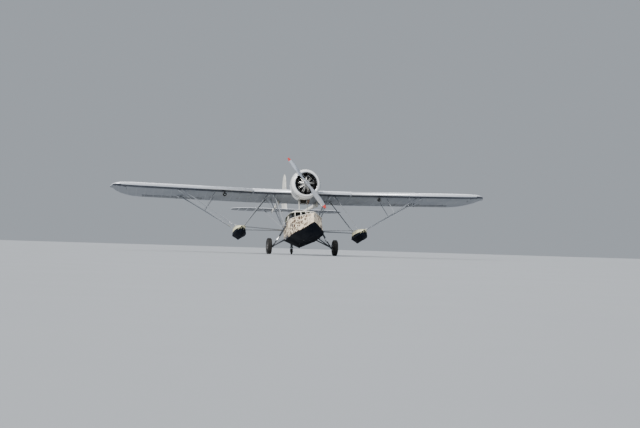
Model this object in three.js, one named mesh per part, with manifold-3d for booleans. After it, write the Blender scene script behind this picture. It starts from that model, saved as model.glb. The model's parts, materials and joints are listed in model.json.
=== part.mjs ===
// A single-engine amphibious flying boat of about 1930, standing on its wheels, in millimetres.
// The airframe is drawn in its own datum frame: X to port, Y aft from the stem, Z up from the keel.
// The whole airframe is then pitched nose-up onto its tailwheel, so that the wheels stand on Z = 0.
import * as THREE from "three";
import { mergeVertices } from "three/addons/utils/BufferGeometryUtils.js";
import Module from "manifold-3d";

const wasm = await Module();
wasm.setup();

const { degToRad } = THREE.MathUtils;
const vec = (x, y, z) => new THREE.Vector3(x, y, z);

// Driving dimensions
const GAP = 0.4; // between pieces that rest on each other
const RUNNING = 7; // clearance round a moving control surface
const GROUND_PITCH = degToRad(7);

const WING = {
  span: 15850,
  chord: 2070,
  thickness: 0.13,
  camber: 0.04,
  leadY: 3100,
  leadZ: 2230,
  incidence: degToRad(5),
  dihedral: degToRad(1.05),
  joint: 2040,
  tipStart: 6650,
  leadTipStart: 7500,
  leadTipSetback: 0.28,
  frontSpar: 0.155,
  rearSpar: 0.72,
};
const AILERON = { inner: 4050, outer: 6600, hinge: 0.8 };
const PROP = { y: 2050, z: 2445, radius: 1285, tilt: 38, hubRadius: 78, shaftRadius: 30 };
const COWL = { y: 2130, radius: 610, mouth: 460, length: 770, wall: 12, sides: 40 };
const ENGINE = {
  cylinders: 9,
  rowY: 2450,
  barrel: 76,
  length: 390,
  middle: 375,
  crankcase: 215,
  firewallY: 2790,
};
// One pushrod of a cylinder: x aside, y from the row, r from the shaft.
const PUSHROD = { width: 22, foot: { x: 36, y: -130, r: 182 }, head: { x: 26, y: -38, r: 548 } };
const STEP_Y = 4000;
const STERN_Y = 6400;
const WALL = 30;
const FLOOR_Z = 300;
const FLOAT = { x: 2550, bowY: 2850, railInner: 2425, railOuter: 2675, frontY: 3420, rearY: 4450 };
const STRUT_X = { wing: 5150, floatInner: 1350, hull: 1200 };
const WHEEL = { x: 1376, y: 3150, z: -57, radius: 330, width: 200, rim: 185, bore: 22.7, axle: 22 };
const TAILWHEEL = { y: 6240, radius: 130, width: 84, trail: 62, pin: 18, bore: 18.7 };
const TAIL = {
  span: 5000,
  leadY: 7560,
  hingeY: 8350,
  trailY: 9000,
  z: 2220,
  thickness: 84,
  incidence: -3,
  tipStart: 1650,
  notchRoot: 95,
  notchTip: 235,
};
const FIN = { hingeY: 8700, trailY: 9730, rootZ: 2264, topZ: 3620, rudderTopZ: 4000, thickness: 78 };
const BOOM = { frontX: 850, rearX: 650, frontY: 4480, rearY: 8260, frontZ: 1945, rearZ: 2115 };
const PIN = { radius: 8, bore: 8.7, length: 34 };
const STRUT = {
  hull: [92, 42],
  diagonal: [52, 26],
  wing: [84, 38],
  crossbar: [26, 26],
  jury: [40, 22],
  rail: [40, 46],
  spreader: [64, 34],
  cabane: [44, 26],
  tail: [62, 32],
  gear: [76, 50],
};
const HATCH = { bowY: [700, 1130], bowX: 190, bowTop: 986, aftY: [4140, 4560], aftX: 250, plate: 24 };
const FLOORBOARD = { x: 500, frontY: 3260, rearY: 3860, top: 316 };
const COLUMN = { x: 270, y: 2446, z: 872, wheelY: 2520, wheelZ: 900, wheel: 150, rim: 13, lean: 14 };
const LAMP = { x: 3250, y: 3180, drop: 190, radius: 88 };

const finish = (color, roughness, metalness = 0) =>
  new THREE.MeshStandardMaterial({ color, roughness, metalness });
const MATERIAL = {
  hull: finish(0xe6d8b8, 0.45),
  cream: finish(0xe9e4d2, 0.4),
  silver: finish(0xc9ccd0, 0.42, 0.3),
  dark: finish(0x2a2c30, 0.5),
  strut: finish(0x6f747b, 0.4, 0.4),
  engine: finish(0x8d9095, 0.45, 0.6),
  blade: finish(0xb9bdc2, 0.3, 0.85),
  rubber: finish(0x1b1b1d, 0.85),
  glass: finish(0x20242c, 0.1),
  leather: finish(0x5b3a22, 0.6),
  copper: finish(0x6a4a34, 0.5, 0.6),
};

// Solids

// A closed three.js geometry as a solid that can be joined and cut.
function solidFrom(geometry) {
  const bare = geometry.index ? geometry.toNonIndexed() : geometry.clone();
  bare.deleteAttribute("normal");
  bare.deleteAttribute("uv");
  const merged = mergeVertices(bare, 1e-3);
  return new wasm.Manifold(
    new wasm.Mesh({
      numProp: 3,
      vertProperties: merged.attributes.position.array,
      triVerts: new Uint32Array(merged.index.array),
    }),
  );
}

// A solid's surface as a three.js geometry.
function geometryFrom(solid) {
  const mesh = solid.getMesh();
  const positions = new Float32Array(mesh.numVert * 3);
  for (let i = 0; i < mesh.numVert; i++) {
    positions.set(mesh.vertProperties.subarray(i * mesh.numProp, i * mesh.numProp + 3), i * 3);
  }
  const geometry = new THREE.BufferGeometry();
  geometry.setAttribute("position", new THREE.BufferAttribute(positions, 3));
  geometry.setIndex(new THREE.BufferAttribute(new Uint32Array(mesh.triVerts), 1));
  geometry.computeVertexNormals();
  return geometry;
}

const join = (...solids) => solids.reduce((whole, next) => whole.add(next));
const cut = (solid, ...tools) => tools.reduce((left, tool) => left.subtract(tool), solid);
const mirrored = (solid) => solid.mirror([1, 0, 0]);

// A solid grown by the gap in the named directions, for cutting the pieces that rest on it.
const GAP_STEP = {
  x: [GAP, 0, 0],
  y: [0, GAP, 0],
  z: [0, 0, GAP],
  "-x": [-GAP, 0, 0],
  "-y": [0, -GAP, 0],
  "-z": [0, 0, -GAP],
};
const skin = (solid, ...directions) =>
  join(solid, ...directions.map((name) => solid.translate(GAP_STEP[name])));

// A body through a row of closed outlines with equal point counts.
// An outline runs from one end point down one side to the other end point and back up the other
// side, so each end is closed by rungs between the two sides, and the two sides mirror each other.
function loft(rings) {
  const count = rings[0].length;
  const half = count / 2;
  const faces = [];
  rings.slice(1).forEach((_, r) => {
    for (let i = 0; i < count; i++) {
      const [a, b] = [r * count + i, r * count + ((i + 1) % count)];
      if (i < half) faces.push([a, b, b + count], [a, b + count, a + count]);
      else faces.push([a, b, a + count], [b, b + count, a + count]);
    }
  });
  const closeEnd = (start, turned) => {
    const rung = (i) => [start + i, start + ((count - i) % count)];
    for (let i = 0; i < half; i++) {
      const [a, b] = rung(i);
      const [c, d] = rung(i + 1);
      const quad = [
        [a, d, c],
        [a, b, d],
      ];
      for (const face of quad) {
        if (new Set(face).size === 3) faces.push(turned ? [...face].reverse() : face);
      }
    }
  };
  closeEnd(0, false);
  closeEnd((rings.length - 1) * count, true);
  const geometry = new THREE.BufferGeometry();
  const points = rings.flat().flatMap((p) => [p.x, p.y, p.z]);
  geometry.setAttribute("position", new THREE.Float32BufferAttribute(points, 3));
  geometry.setIndex(faces.flat());
  const position = geometry.getAttribute("position");
  const corner = (i) => new THREE.Vector3().fromBufferAttribute(position, i);
  const volume = faces.reduce((sum, [a, b, c]) => sum + corner(a).dot(corner(b).cross(corner(c))), 0);
  if (volume < 0) geometry.setIndex(faces.map((face) => [...face].reverse()).flat());
  return solidFrom(geometry);
}

// A box between two opposite corners.
function block([x0, y0, z0], [x1, y1, z1]) {
  const box = new THREE.BoxGeometry(x1 - x0, y1 - y0, z1 - z0);
  return solidFrom(box.translate((x0 + x1) / 2, (y0 + y1) / 2, (z0 + z1) / 2));
}

// A streamlined bar between two points: thick across the airflow, wide along it.
function bar(from, to, width, thickness = width, sides = 8) {
  const along = to.clone().sub(from);
  const geometry = new THREE.CylinderGeometry(0.5, 0.5, along.length(), sides);
  geometry.scale(thickness, 1, width);
  along.normalize();
  const flow = Math.abs(along.y) > 0.9 ? vec(0, 0, 1) : vec(0, 1, 0);
  const across = new THREE.Vector3().crossVectors(along, flow).normalize();
  const wide = new THREE.Vector3().crossVectors(across, along);
  const place = new THREE.Matrix4().makeBasis(across, along, wide);
  place.setPosition(from.clone().add(to).multiplyScalar(0.5));
  return solidFrom(geometry.applyMatrix4(place));
}

// A turned body about the line along Y through (x, z), from [radius, y] points.
function turnedAlongY(profile, x, z, sides) {
  const lathe = new THREE.LatheGeometry(
    profile.map(([radius, y]) => new THREE.Vector2(radius, y)),
    sides,
  );
  return upright(lathe).translate([x, 0, z]);
}

// A turned body about the line along X through (y, z), from [radius, x] points.
function turnedAlongX(profile, y, z, sides) {
  const lathe = new THREE.LatheGeometry(
    profile.map(([radius, x]) => new THREE.Vector2(radius, x)),
    sides,
  );
  return upright(lathe.rotateZ(-Math.PI / 2)).translate([0, y, z]);
}

// The solid of a turned geometry, with its faces made to point outwards.
function upright(geometry) {
  const whole = geometry.toNonIndexed();
  const p = whole.getAttribute("position");
  const corner = (i) => new THREE.Vector3().fromBufferAttribute(p, i);
  let volume = 0;
  for (let i = 0; i < p.count; i += 3) volume += corner(i).dot(corner(i + 1).cross(corner(i + 2)));
  if (volume < 0) {
    for (let i = 0; i < p.count; i += 3) {
      const [second, third] = [corner(i + 1), corner(i + 2)];
      p.setXYZ(i + 1, third.x, third.y, third.z);
      p.setXYZ(i + 2, second.x, second.y, second.z);
    }
  }
  return solidFrom(whole);
}

// Outlines

// Half thickness of a symmetrical section of unit chord and thickness at a share of its chord.
const foilHalf = (s) =>
  5 * (0.2969 * Math.sqrt(s) - 0.126 * s - 0.3516 * s ** 2 + 0.2843 * s ** 3 - 0.1015 * s ** 4);

// Height of a camber line of unit height that peaks at 40% chord.
const camberRise = (s) =>
  s < 0.4 ? (0.8 * s - s * s) / 0.16 : (0.2 + 0.8 * s - s * s) / 0.36;

const FOIL_STATIONS = [0.97, 0.88, 0.76, 0.62, 0.48, 0.34, 0.22, 0.12, 0.05, 0.015];
const TRAIL_HALF = 2.5;

// An aerofoil outline in a plane of constant span: point(span, along chord, height).
function foilRing(lead, chord, thickness, camber, point) {
  const height = (s, side) =>
    chord * camber * camberRise(s) + side * (chord * thickness * foilHalf(s) + TRAIL_HALF * s);
  const at = (s, side) => point(lead + s * chord, height(s, side));
  const tail = point(lead + chord, 0);
  return [
    tail,
    ...FOIL_STATIONS.map((s) => at(s, 1)),
    point(lead, 0),
    ...[...FOIL_STATIONS].reverse().map((s) => at(s, -1)),
  ];
}

// Share of the chord left at a station of a tip with an elliptical outline.
const tipShare = (x, start, end) => (x <= start ? 1 : Math.sqrt(1 - ((x - start) / (end - start)) ** 2));
const TIP_STATIONS = [0.26, 0.48, 0.66, 0.81, 0.92, 1];

// A boat-shaped section: keel, chine and deck edge on both sides, crowned deck.
function boatRing(x, y, keel, chineX, chineZ, deckX, deckZ, crown) {
  return [
    vec(x, y, keel),
    vec(x + chineX, y, chineZ),
    vec(x + deckX, y, deckZ),
    vec(x + deckX / 2, y, deckZ + crown * 0.75),
    vec(x, y, deckZ + crown),
    vec(x - deckX / 2, y, deckZ + crown * 0.75),
    vec(x - deckX, y, deckZ),
    vec(x - chineX, y, chineZ),
  ];
}

// A table's rows with more between each two, on a smooth curve that never overshoots them.
function easedRows(rows, steps) {
  const last = rows.length - 1;
  const slope = (k, key) => (rows[k + 1][key] - rows[k][key]) / (rows[k + 1].y - rows[k].y);
  const tangent = (k, key) => {
    if (k === 0 || k === last) return slope(Math.min(k, last - 1), key);
    const [before, after] = [slope(k - 1, key), slope(k, key)];
    return before * after > 0 ? (2 * before * after) / (before + after) : 0;
  };
  const between = (k, t) => {
    const length = rows[k + 1].y - rows[k].y;
    const blend = (key) =>
      (2 * t ** 3 - 3 * t ** 2 + 1) * rows[k][key] +
      (t ** 3 - 2 * t ** 2 + t) * tangent(k, key) * length +
      (3 * t ** 2 - 2 * t ** 3) * rows[k + 1][key] +
      (t ** 3 - t ** 2) * tangent(k + 1, key) * length;
    const at = (key) => (key === "y" ? rows[k].y + t * length : blend(key));
    const eased = Object.keys(rows[k]).map((key) => [key, at(key)]);
    return Object.fromEntries(eased);
  };
  const stretch = (k) => Array.from({ length: steps }, (_, i) => between(k, i / steps));
  const stretches = rows.slice(1).map((_, k) => stretch(k));
  return [...stretches.flat(), rows[last]];
}

// Hull

const FOREBODY = [
  { y: 0, keel: 500, chineX: 12, chineZ: 560, deckX: 12, deckZ: 915 },
  { y: 110, keel: 410, chineX: 140, chineZ: 478, deckX: 62, deckZ: 918 },
  { y: 300, keel: 272, chineX: 275, chineZ: 394, deckX: 136, deckZ: 922 },
  { y: 600, keel: 145, chineX: 415, chineZ: 320, deckX: 248, deckZ: 930 },
  { y: 1050, keel: 55, chineX: 540, chineZ: 284, deckX: 396, deckZ: 940 },
  { y: 1600, keel: 12, chineX: 604, chineZ: 272, deckX: 548, deckZ: 954 },
  { y: 2200, keel: 0, chineX: 625, chineZ: 270, deckX: 640, deckZ: 966 },
  { y: 3000, keel: 0, chineX: 630, chineZ: 270, deckX: 668, deckZ: 970 },
  { y: STEP_Y, keel: 0, chineX: 625, chineZ: 270, deckX: 655, deckZ: 970 },
];
const AFTERBODY = [
  { y: STEP_Y - 8, keel: 95, chineX: 620, chineZ: 345, deckX: 655, deckZ: 970 },
  { y: 4700, keel: 190, chineX: 558, chineZ: 408, deckX: 592, deckZ: 966 },
  { y: 5400, keel: 298, chineX: 398, chineZ: 478, deckX: 432, deckZ: 956 },
  { y: 6000, keel: 388, chineX: 190, chineZ: 542, deckX: 214, deckZ: 942 },
  { y: STERN_Y, keel: 450, chineX: 20, chineZ: 590, deckX: 20, deckZ: 928 },
];
const DECK_CROWN = 34;

const hullCrown = (deckX) => DECK_CROWN * Math.min(1, deckX / 300);
const hullSection = ({ y, keel, chineX, chineZ, deckX, deckZ }) =>
  boatRing(0, y, keel, chineX, chineZ, deckX, deckZ, hullCrown(deckX));

const BOW_ROWS = easedRows(FOREBODY, 3);
const STERN_ROWS = easedRows(AFTERBODY, 3);
const hullOuter = join(loft(BOW_ROWS.map(hullSection)), loft(STERN_ROWS.map(hullSection)));

// The space inside the hull: flat floor, walls and deck a frame's depth thick.
function hullSpace(inset) {
  const [bowEnd, sternStart, sternEnd] = [FOREBODY[2].y, AFTERBODY[1].y, AFTERBODY[3].y];
  const rows = [
    ...BOW_ROWS.filter(({ y }) => y >= bowEnd),
    ...STERN_ROWS.filter(({ y }) => y >= sternStart && y <= sternEnd),
  ];
  return loft(
    rows.map((row) => {
      const floor = Math.max(FLOOR_Z, row.chineZ + 30) + (inset - WALL);
      const sideX = Math.min(row.chineX, row.deckX) - inset;
      return boatRing(0, row.y, floor, sideX - 12, floor, sideX, row.deckZ - inset, 0);
    }),
  );
}

// Cabin: each row is one post, with its foot on the deck, its eave and its place on the roof.
const CABIN_POSTS = [
  { sill: [0, 1930], eave: [0, 2240, 1292], roof: [0, 2345, 1335] },
  { sill: [215, 1990], eave: [205, 2275, 1290], roof: [150, 2368, 1334] },
  { sill: [455, 2150], eave: [425, 2385, 1286], roof: [300, 2445, 1340] },
  { sill: [612, 2560], eave: [566, 2660, 1284], roof: [380, 2640, 1370] },
  { sill: [636, 3280], eave: [588, 3300, 1284], roof: [392, 3300, 1384] },
  { sill: [632, 4000], eave: [582, 4000, 1280], roof: [388, 4000, 1380] },
  { sill: [566, 4700], eave: [512, 4660, 1184], roof: [338, 4650, 1262] },
  { sill: [338, 5400], eave: [300, 5360, 1010], roof: [196, 5340, 1040] },
  { sill: [0, 5560], eave: [0, 5500, 990], roof: [0, 5480, 1004] },
];
const SILL_Z = 900;

// The cabin's outer form, moved in by a wall's thickness and carried on below its sill where given.
function cabinForm(inset, below = 0) {
  const last = CABIN_POSTS.length - 1;
  const moved = ([x, y, z], i, drop) => {
    const towards = i <= 2 ? inset : i >= last - 1 ? -inset : 0;
    return vec(Math.max(0, x - (x > 0 ? inset : 0)), y + towards, z - drop);
  };
  const level = (pick, drop) => {
    const port = CABIN_POSTS.map((post, i) => moved(pick(post), i, drop));
    const starboard = port.slice(1, last).reverse();
    return [...port, ...starboard.map((p) => vec(-p.x, p.y, p.z))];
  };
  const sill = level((post) => [...post.sill, SILL_Z], 0);
  const eave = level((post) => post.eave, inset * 0.3);
  const foot = sill.map((p, i) => p.clone().lerp(eave[i], -below / (eave[i].z - p.z)));
  return loft([...(below > 0 ? [foot] : []), sill, eave, level((post) => post.roof, inset)]);
}

const PANE = { footZ: 970, frame: 22, low: 62, high: 20, lap: 3, bentPost: 3, splitY: 3296 };

// The opening for one pane: the face between two posts, less a frame's width, cut right through.
// One post has no frame, and the glass bends round it.
function paneHole(i, side) {
  const post = (k) => {
    const { sill, eave } = CABIN_POSTS[k];
    const [foot, top] = [vec(sill[0] * side, sill[1], PANE.footZ), vec(eave[0] * side, eave[1], eave[2])];
    const height = foot.distanceTo(top);
    return [PANE.low / height, 1 - PANE.high / height].map((rise) => foot.clone().lerp(top, rise));
  };
  const [first, second] = [post(i), post(i + 1)];
  const width = first[0].distanceTo(second[0]);
  const margin = (k) => (k === PANE.bentPost ? -PANE.lap : PANE.frame) / width;
  const at = (rise, share) => first[rise].clone().lerp(second[rise], share);
  const [start, end] = [margin(i), 1 - margin(i + 1)];
  const corners = [at(0, start), at(0, end), at(1, end), at(1, start)];
  const normal = corners[1].clone().sub(corners[0]).cross(corners[3].clone().sub(corners[0]));
  normal.normalize().multiplyScalar(70);
  const face = (sign) => corners.map((c) => c.clone().addScaledVector(normal, sign));
  return loft([face(-1), face(1)]);
}

// The strips along both chines that throw the spray down.
const portStrip = loft(
  BOW_ROWS.filter(({ y }) => y >= FOREBODY[1].y).map((row) => {
    const [x, z] = [row.chineX + 2, row.chineZ - 4];
    return [vec(x, row.y, z - 9), vec(x + 16, row.y, z), vec(x, row.y, z + 9), vec(x - 16, row.y, z)];
  }),
);
const sprayStrips = join(portStrip, mirrored(portStrip));

function buildHull() {
  const [bowFront, bowRear] = HATCH.bowY;
  const rim = 28;
  const coaming = block([-HATCH.bowX, bowFront, 900], [HATCH.bowX, bowRear, HATCH.bowTop]);
  const bowHole = block(
    [-HATCH.bowX + rim, bowFront + rim, 850],
    [HATCH.bowX - rim, bowRear - rim, HATCH.bowTop + 50],
  );
  const { x, frontY, rearY, top } = FLOORBOARD;
  const floorboard = block([-x, frontY, FLOOR_Z - 8], [x, rearY, top]);
  const body = join(hullOuter, coaming, sprayStrips);
  return join(cut(body, hullSpace(WALL), cabinForm(WALL + 6, 20), bowHole), floorboard);
}

const hullTop = skin(hullOuter, "z");

function buildCabinFrame() {
  const holes = [-1, 1].flatMap((side) =>
    [0, 1, 2, 3, 4].map((i) => paneHole(i, side)),
  );
  const [front, rear] = HATCH.aftY;
  const hatchHole = block([-HATCH.aftX, front, 1100], [HATCH.aftX, rear, 1500]);
  return cut(cabinForm(0), cabinForm(34, 60), hullTop, hatchHole, ...holes);
}

// Glazing lies against the inside of the cabin frame.
function glazing(low, high) {
  const sheet = cut(cabinForm(35.2), cabinForm(41, 40));
  return cut(sheet.intersect(block(low, high)), hullTop);
}

const PANEL_Y = 2230;

function buildInstrumentPanel() {
  const board = block([-520, PANEL_Y, 760], [520, PANEL_Y + 26, 1020]);
  const tray = block([-520, PANEL_Y - 60, 760], [520, PANEL_Y + 10, 784]);
  const room = join(hullSpace(WALL + GAP), cabinForm(46, 20)).intersect(
    block([-620, 2100, 700], [620, 2400, 1100]),
  );
  return join(board, tray).intersect(room);
}

// A throw-over control column with one wheel in front of the port seat.
function buildControlColumn() {
  const { x, y, z, wheelY, wheelZ, wheel, rim, lean } = COLUMN;
  const centre = vec(x, wheelY, wheelZ);
  const ring = new THREE.TorusGeometry(wheel, rim, 6, 20).rotateX(Math.PI / 2);
  const tilt = degToRad(lean);
  const spokes = [0, 120, 240].map((angle) => {
    const [across, up] = [Math.sin(degToRad(angle)) * wheel, Math.cos(degToRad(angle)) * wheel];
    const end = centre.clone().add(vec(across, -up * Math.sin(tilt), up * Math.cos(tilt)));
    return bar(centre, end, 18);
  });
  return join(
    solidFrom(ring).rotate([lean, 0, 0]).translate(centre.toArray()),
    ...spokes,
    bar(vec(x, wheelY + 10, wheelZ), vec(x, y - 6, z), 34),
    bar(vec(x + 6, y, z), vec(-14, y, z), 44),
    bar(vec(0, y, z + 12), vec(0, y - 26, FLOOR_Z + GAP + 4), 56, 56, 10),
    block([-60, y - 76, FLOOR_Z + GAP], [60, y + 34, FLOOR_Z + 18]),
  );
}

// A seat with a slightly reclined back, between two x positions.
function seat(x0, x1, frontY, backY, seatZ, backZ) {
  const section = [
    [frontY, seatZ - 120],
    [frontY, seatZ],
    [backY, seatZ - 18],
    [backY + 90, backZ],
    [backY + 165, backZ - 12],
    [backY + 78, seatZ - 120],
  ];
  const shape = new THREE.Shape(section.map(([y, z]) => new THREE.Vector2(y, z)));
  const geometry = new THREE.ExtrudeGeometry(shape, { depth: x1 - x0, bevelEnabled: false });
  const turn = new THREE.Matrix4().makeBasis(vec(0, 1, 0), vec(0, 0, 1), vec(1, 0, 0));
  return solidFrom(geometry.applyMatrix4(turn)).translate([x0, 0, 0]);
}

function buildFrontSeats() {
  const floor = FLOOR_Z + GAP;
  const legs = [-480, -130, 100, 450].flatMap((x) =>
    [2860, 3180].map((y) => block([x, y, floor], [x + 30, y + 30, 520])),
  );
  const rails = [2860, 3180].map((y) => block([-480, y, floor], [480, y + 30, floor + 26]));
  return join(
    seat(-500, -80, 2830, 3190, 610, 1060),
    seat(80, 500, 2830, 3190, 610, 1060),
    ...legs,
    ...rails,
  );
}

function buildRearSeat() {
  const plinth = block([-440, 3950, 290], [440, 4290, 560]).intersect(hullSpace(WALL + GAP));
  return join(seat(-480, 480, 3900, 4290, 620, 1040), plinth);
}

// Wing

const foilPoint = (x, rise) => (y, z) => vec(x, y, z + rise);
const wingRing = (x, share = 1, lead = 0, grow = 0) =>
  foilRing(
    lead - grow,
    WING.chord * share + 2 * grow,
    WING.thickness + (2 * grow) / (WING.chord * share),
    WING.camber,
    foilPoint(x, 0),
  );

// The panel outboard of the joint, in its own frame: x from the joint, y from the leading edge.
// Its root face leans against the dihedral, so that it stands parallel to the centre section's.
function panelForm() {
  const half = WING.span / 2;
  const root = wingRing(0).map((p) => p.setX(p.z * Math.tan(WING.dihedral)));
  const straight = [root, wingRing(WING.tipStart - WING.joint)];
  const tip = TIP_STATIONS.map((t) => {
    const x = WING.tipStart + t * (half - WING.tipStart);
    const lead = WING.chord * WING.leadTipSetback * (1 - tipShare(x, WING.leadTipStart, half));
    const trail = WING.chord * tipShare(x, WING.tipStart, half);
    return wingRing(x - WING.joint, Math.max(trail - lead, 160) / WING.chord, lead);
  });
  return loft([...straight, ...tip]);
}

const aileronHinge = (() => {
  const s = AILERON.hinge;
  return {
    y: WING.chord * s,
    z: WING.chord * WING.camber * camberRise(s),
    nose: WING.chord * WING.thickness * foilHalf(s) + TRAIL_HALF * s,
  };
})();

const rodAlongX = (x0, x1, radius, y, z, sides = 16) =>
  turnedAlongX(
    [
      [0, x0],
      [radius, x0],
      [radius, x1],
      [0, x1],
    ],
    y,
    z,
    sides,
  );

function buildWingPanel() {
  const [inner, outer] = [AILERON.inner - WING.joint, AILERON.outer - WING.joint];
  const { y, z, nose } = aileronHinge;
  const bay = join(
    block([inner, y, -400], [outer, WING.chord + 200, 400]),
    rodAlongX(inner, outer, nose + RUNNING, y, z, 24),
  );
  const pins = [
    rodAlongX(inner - 20, inner + PIN.length, PIN.radius, y, z),
    rodAlongX(outer - PIN.length, outer + 20, PIN.radius, y, z),
  ];
  return join(cut(panelForm(), bay), ...pins);
}

function buildAileron() {
  const inner = AILERON.inner - WING.joint + RUNNING;
  const outer = AILERON.outer - WING.joint - RUNNING;
  const { y, z, nose } = aileronHinge;
  const blade = panelForm().intersect(block([inner, y, -400], [outer, WING.chord + 200, 400]));
  const bores = [
    rodAlongX(inner - 10, inner + PIN.length, PIN.bore, y, z),
    rodAlongX(outer - PIN.length, outer + 10, PIN.bore, y, z),
  ];
  return cut(join(blade, rodAlongX(inner, outer, nose, y, z, 24)), ...bores);
}

// Places and groups of the three wing parts in the datum frame
const airframe = new THREE.Group();
const centreWing = new THREE.Group();
centreWing.position.set(0, WING.leadY, WING.leadZ);
centreWing.rotation.x = -WING.incidence;
const portWing = new THREE.Group();
portWing.position.x = WING.joint + GAP;
portWing.rotation.y = -WING.dihedral;
const starboardWing = new THREE.Group();
starboardWing.position.x = -WING.joint - GAP;
starboardWing.rotation.y = WING.dihedral;
centreWing.add(portWing, starboardWing);
airframe.add(centreWing);
airframe.updateMatrixWorld(true);

const inDatum = (solid, group) => solid.transform(group.matrixWorld.toArray());
const centreForm = loft([-WING.joint, WING.joint].map((x) => wingRing(x)));
const centreSolid = inDatum(centreForm, centreWing);
const centreGrown = inDatum(loft([-WING.joint, WING.joint].map((x) => wingRing(x, 1, 0, 1))), centreWing);
const portSolid = inDatum(panelForm(), portWing);
const wingUnder = skin(join(centreSolid, portSolid), "-z");

// The middle of the wing's section at a spar, in the datum frame.
function sparPoint(x, share) {
  const local = vec(x, WING.chord * share, WING.chord * WING.camber * camberRise(share));
  if (x <= WING.joint) return local.applyMatrix4(centreWing.matrixWorld);
  return local.setX(x - WING.joint).applyMatrix4(portWing.matrixWorld);
}

// Powerplant

function cowlProfile(wall) {
  const outer = [
    [470, 14],
    [498, 0],
    [532, 14],
    [568, 58],
    [598, 140],
    [COWL.radius, 270],
    [602, 470],
    [566, COWL.length],
  ];
  const inner = [
    [566 - wall, COWL.length],
    [602 - wall, 470],
    [COWL.radius - wall, 270],
    [598 - wall, 140],
    [568 - wall - 4, 72],
    [476, 78],
    [COWL.mouth, 56],
  ];
  return { outer, inner };
}

function buildCowl() {
  const { outer, inner } = cowlProfile(COWL.wall);
  const loop = [...outer, ...inner, outer[0]].map(([r, y]) => [r, y + COWL.y]);
  return cut(turnedAlongY(loop, 0, PROP.z, COWL.sides), tailPipe(PIPE_WIDTH + 2 * PIPE_HOLE));
}

function buildEngine() {
  const { inner } = cowlProfile(COWL.wall + GAP);
  const front = COWL.y + 90;
  const wallInside = inner.slice(0, 4).reverse();
  const envelope = turnedAlongY(
    [
      [0, front],
      ...wallInside.map(([r, y]) => [r, Math.max(y + COWL.y, front)]),
      [0, COWL.y + COWL.length],
    ],
    0,
    PROP.z,
    COWL.sides,
  );
  const { rowY, barrel, length, middle, crankcase } = ENGINE;
  const { foot, head, width } = PUSHROD;
  const cylinders = Array.from({ length: ENGINE.cylinders }, (_, i) => {
    const angle = (i * 360) / ENGINE.cylinders;
    const finned = new THREE.CylinderGeometry(barrel, barrel * 0.92, length, 10).rotateX(Math.PI / 2);
    const pot = solidFrom(finned.translate(0, rowY, middle));
    const rockerBox = block([-44, rowY - 30, 540], [44, rowY + 88, 640]);
    const on = (side, end) => vec(side * end.x, rowY + end.y, end.r);
    const pushrods = [-1, 1].map((side) => bar(on(side, foot), on(side, head), width, width, 4));
    return join(pot, rockerBox, ...pushrods).rotate([0, angle, 0]).translate([0, 0, PROP.z]);
  });
  const core = turnedAlongY(
    [
      [0, PROP.y + 90],
      [66, PROP.y + 90],
      [92, PROP.y + 150],
      [150, PROP.y + 230],
      [crankcase, rowY - 110],
      [crankcase, rowY + 120],
      [190, rowY + 180],
      [190, ENGINE.firewallY - GAP],
      [0, ENGINE.firewallY - GAP],
    ],
    0,
    PROP.z,
    20,
  );
  const shaft = turnedAlongY(
    [
      [0, PROP.y - 96],
      [PROP.shaftRadius, PROP.y - 96],
      [PROP.shaftRadius, PROP.y + 120],
      [0, PROP.y + 120],
    ],
    0,
    PROP.z,
    24,
  );
  return join(join(...cylinders).intersect(envelope), core, shaft);
}

// Engine fairing over and under the wing: y, radius across, radius up, height of the middle.
const NACELLE = [
  { y: ENGINE.firewallY, across: 400, up: 400, z: PROP.z },
  { y: 2940, across: 520, up: 520, z: 2424 },
  { y: 3120, across: 528, up: 530, z: 2420 },
  { y: 3400, across: 492, up: 486, z: 2405 },
  { y: 3720, across: 415, up: 400, z: 2375 },
  { y: 4080, across: 305, up: 290, z: 2325 },
  { y: 4440, across: 175, up: 175, z: 2270 },
  { y: 4760, across: 45, up: 50, z: 2210 },
];

const ellipseRing = (x, y, z, across, up, sides = 24) =>
  Array.from({ length: sides }, (_, i) => {
    const a = (2 * Math.PI * i) / sides;
    return vec(x + across * Math.sin(a), y, z + up * Math.cos(a));
  });

const nacelleForm = loft(
  easedRows(NACELLE, 2).map((row) => ellipseRing(0, row.y, row.z, row.across, row.up, 28)),
);

function buildOilCooler() {
  const box = block([-132, 3000, 1750], [132, 3300, 2080]);
  const duct = block([-112, 2960, 1768], [112, 3130, 1840]);
  return cut(box, duct, skin(nacelleForm, "-z"));
}

// A collector ring behind the cylinders with a stub from each, and one tail pipe low to port.
const COLLECTOR = { y: 2640, radius: 470, pipe: 34, stub: 44, stubY: 2518 };
const PIPE_WIDTH = 92;
const PIPE_HOLE = 6;
const TAIL_PIPE = [vec(190, 2640, 2000), vec(214, 2900, 1865), vec(222, 3060, 1813), vec(226, 3320, 1785)];
const tailPipe = (width) => {
  const pieces = TAIL_PIPE.slice(1).map((end, i) => {
    const start = TAIL_PIPE[i].clone().lerp(end, -0.06);
    return bar(start, end, width, width, 10);
  });
  return join(...pieces);
};

// The whole exhaust, every pipe wider by `room` on each side.
function exhaustForm(room = 0) {
  const { y, radius, pipe, stub, stubY } = COLLECTOR;
  const ring = solidFrom(new THREE.TorusGeometry(radius, pipe + room, 8, 24).rotateX(Math.PI / 2));
  const across = stub + 2 * room;
  const straight = bar(vec(0, stubY - room, radius), vec(0, y, radius), across, across, 6);
  const stubs = Array.from({ length: ENGINE.cylinders }, (_, i) =>
    straight.rotate([0, (i * 360) / ENGINE.cylinders, 0]),
  );
  const collector = join(ring.translate([0, y, 0]), ...stubs).translate([0, 0, PROP.z]);
  return join(collector, tailPipe(PIPE_WIDTH + 2 * room));
}
const buildExhaust = () => cut(exhaustForm(), skin(nacelleForm, "-y", "-z"));

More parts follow.
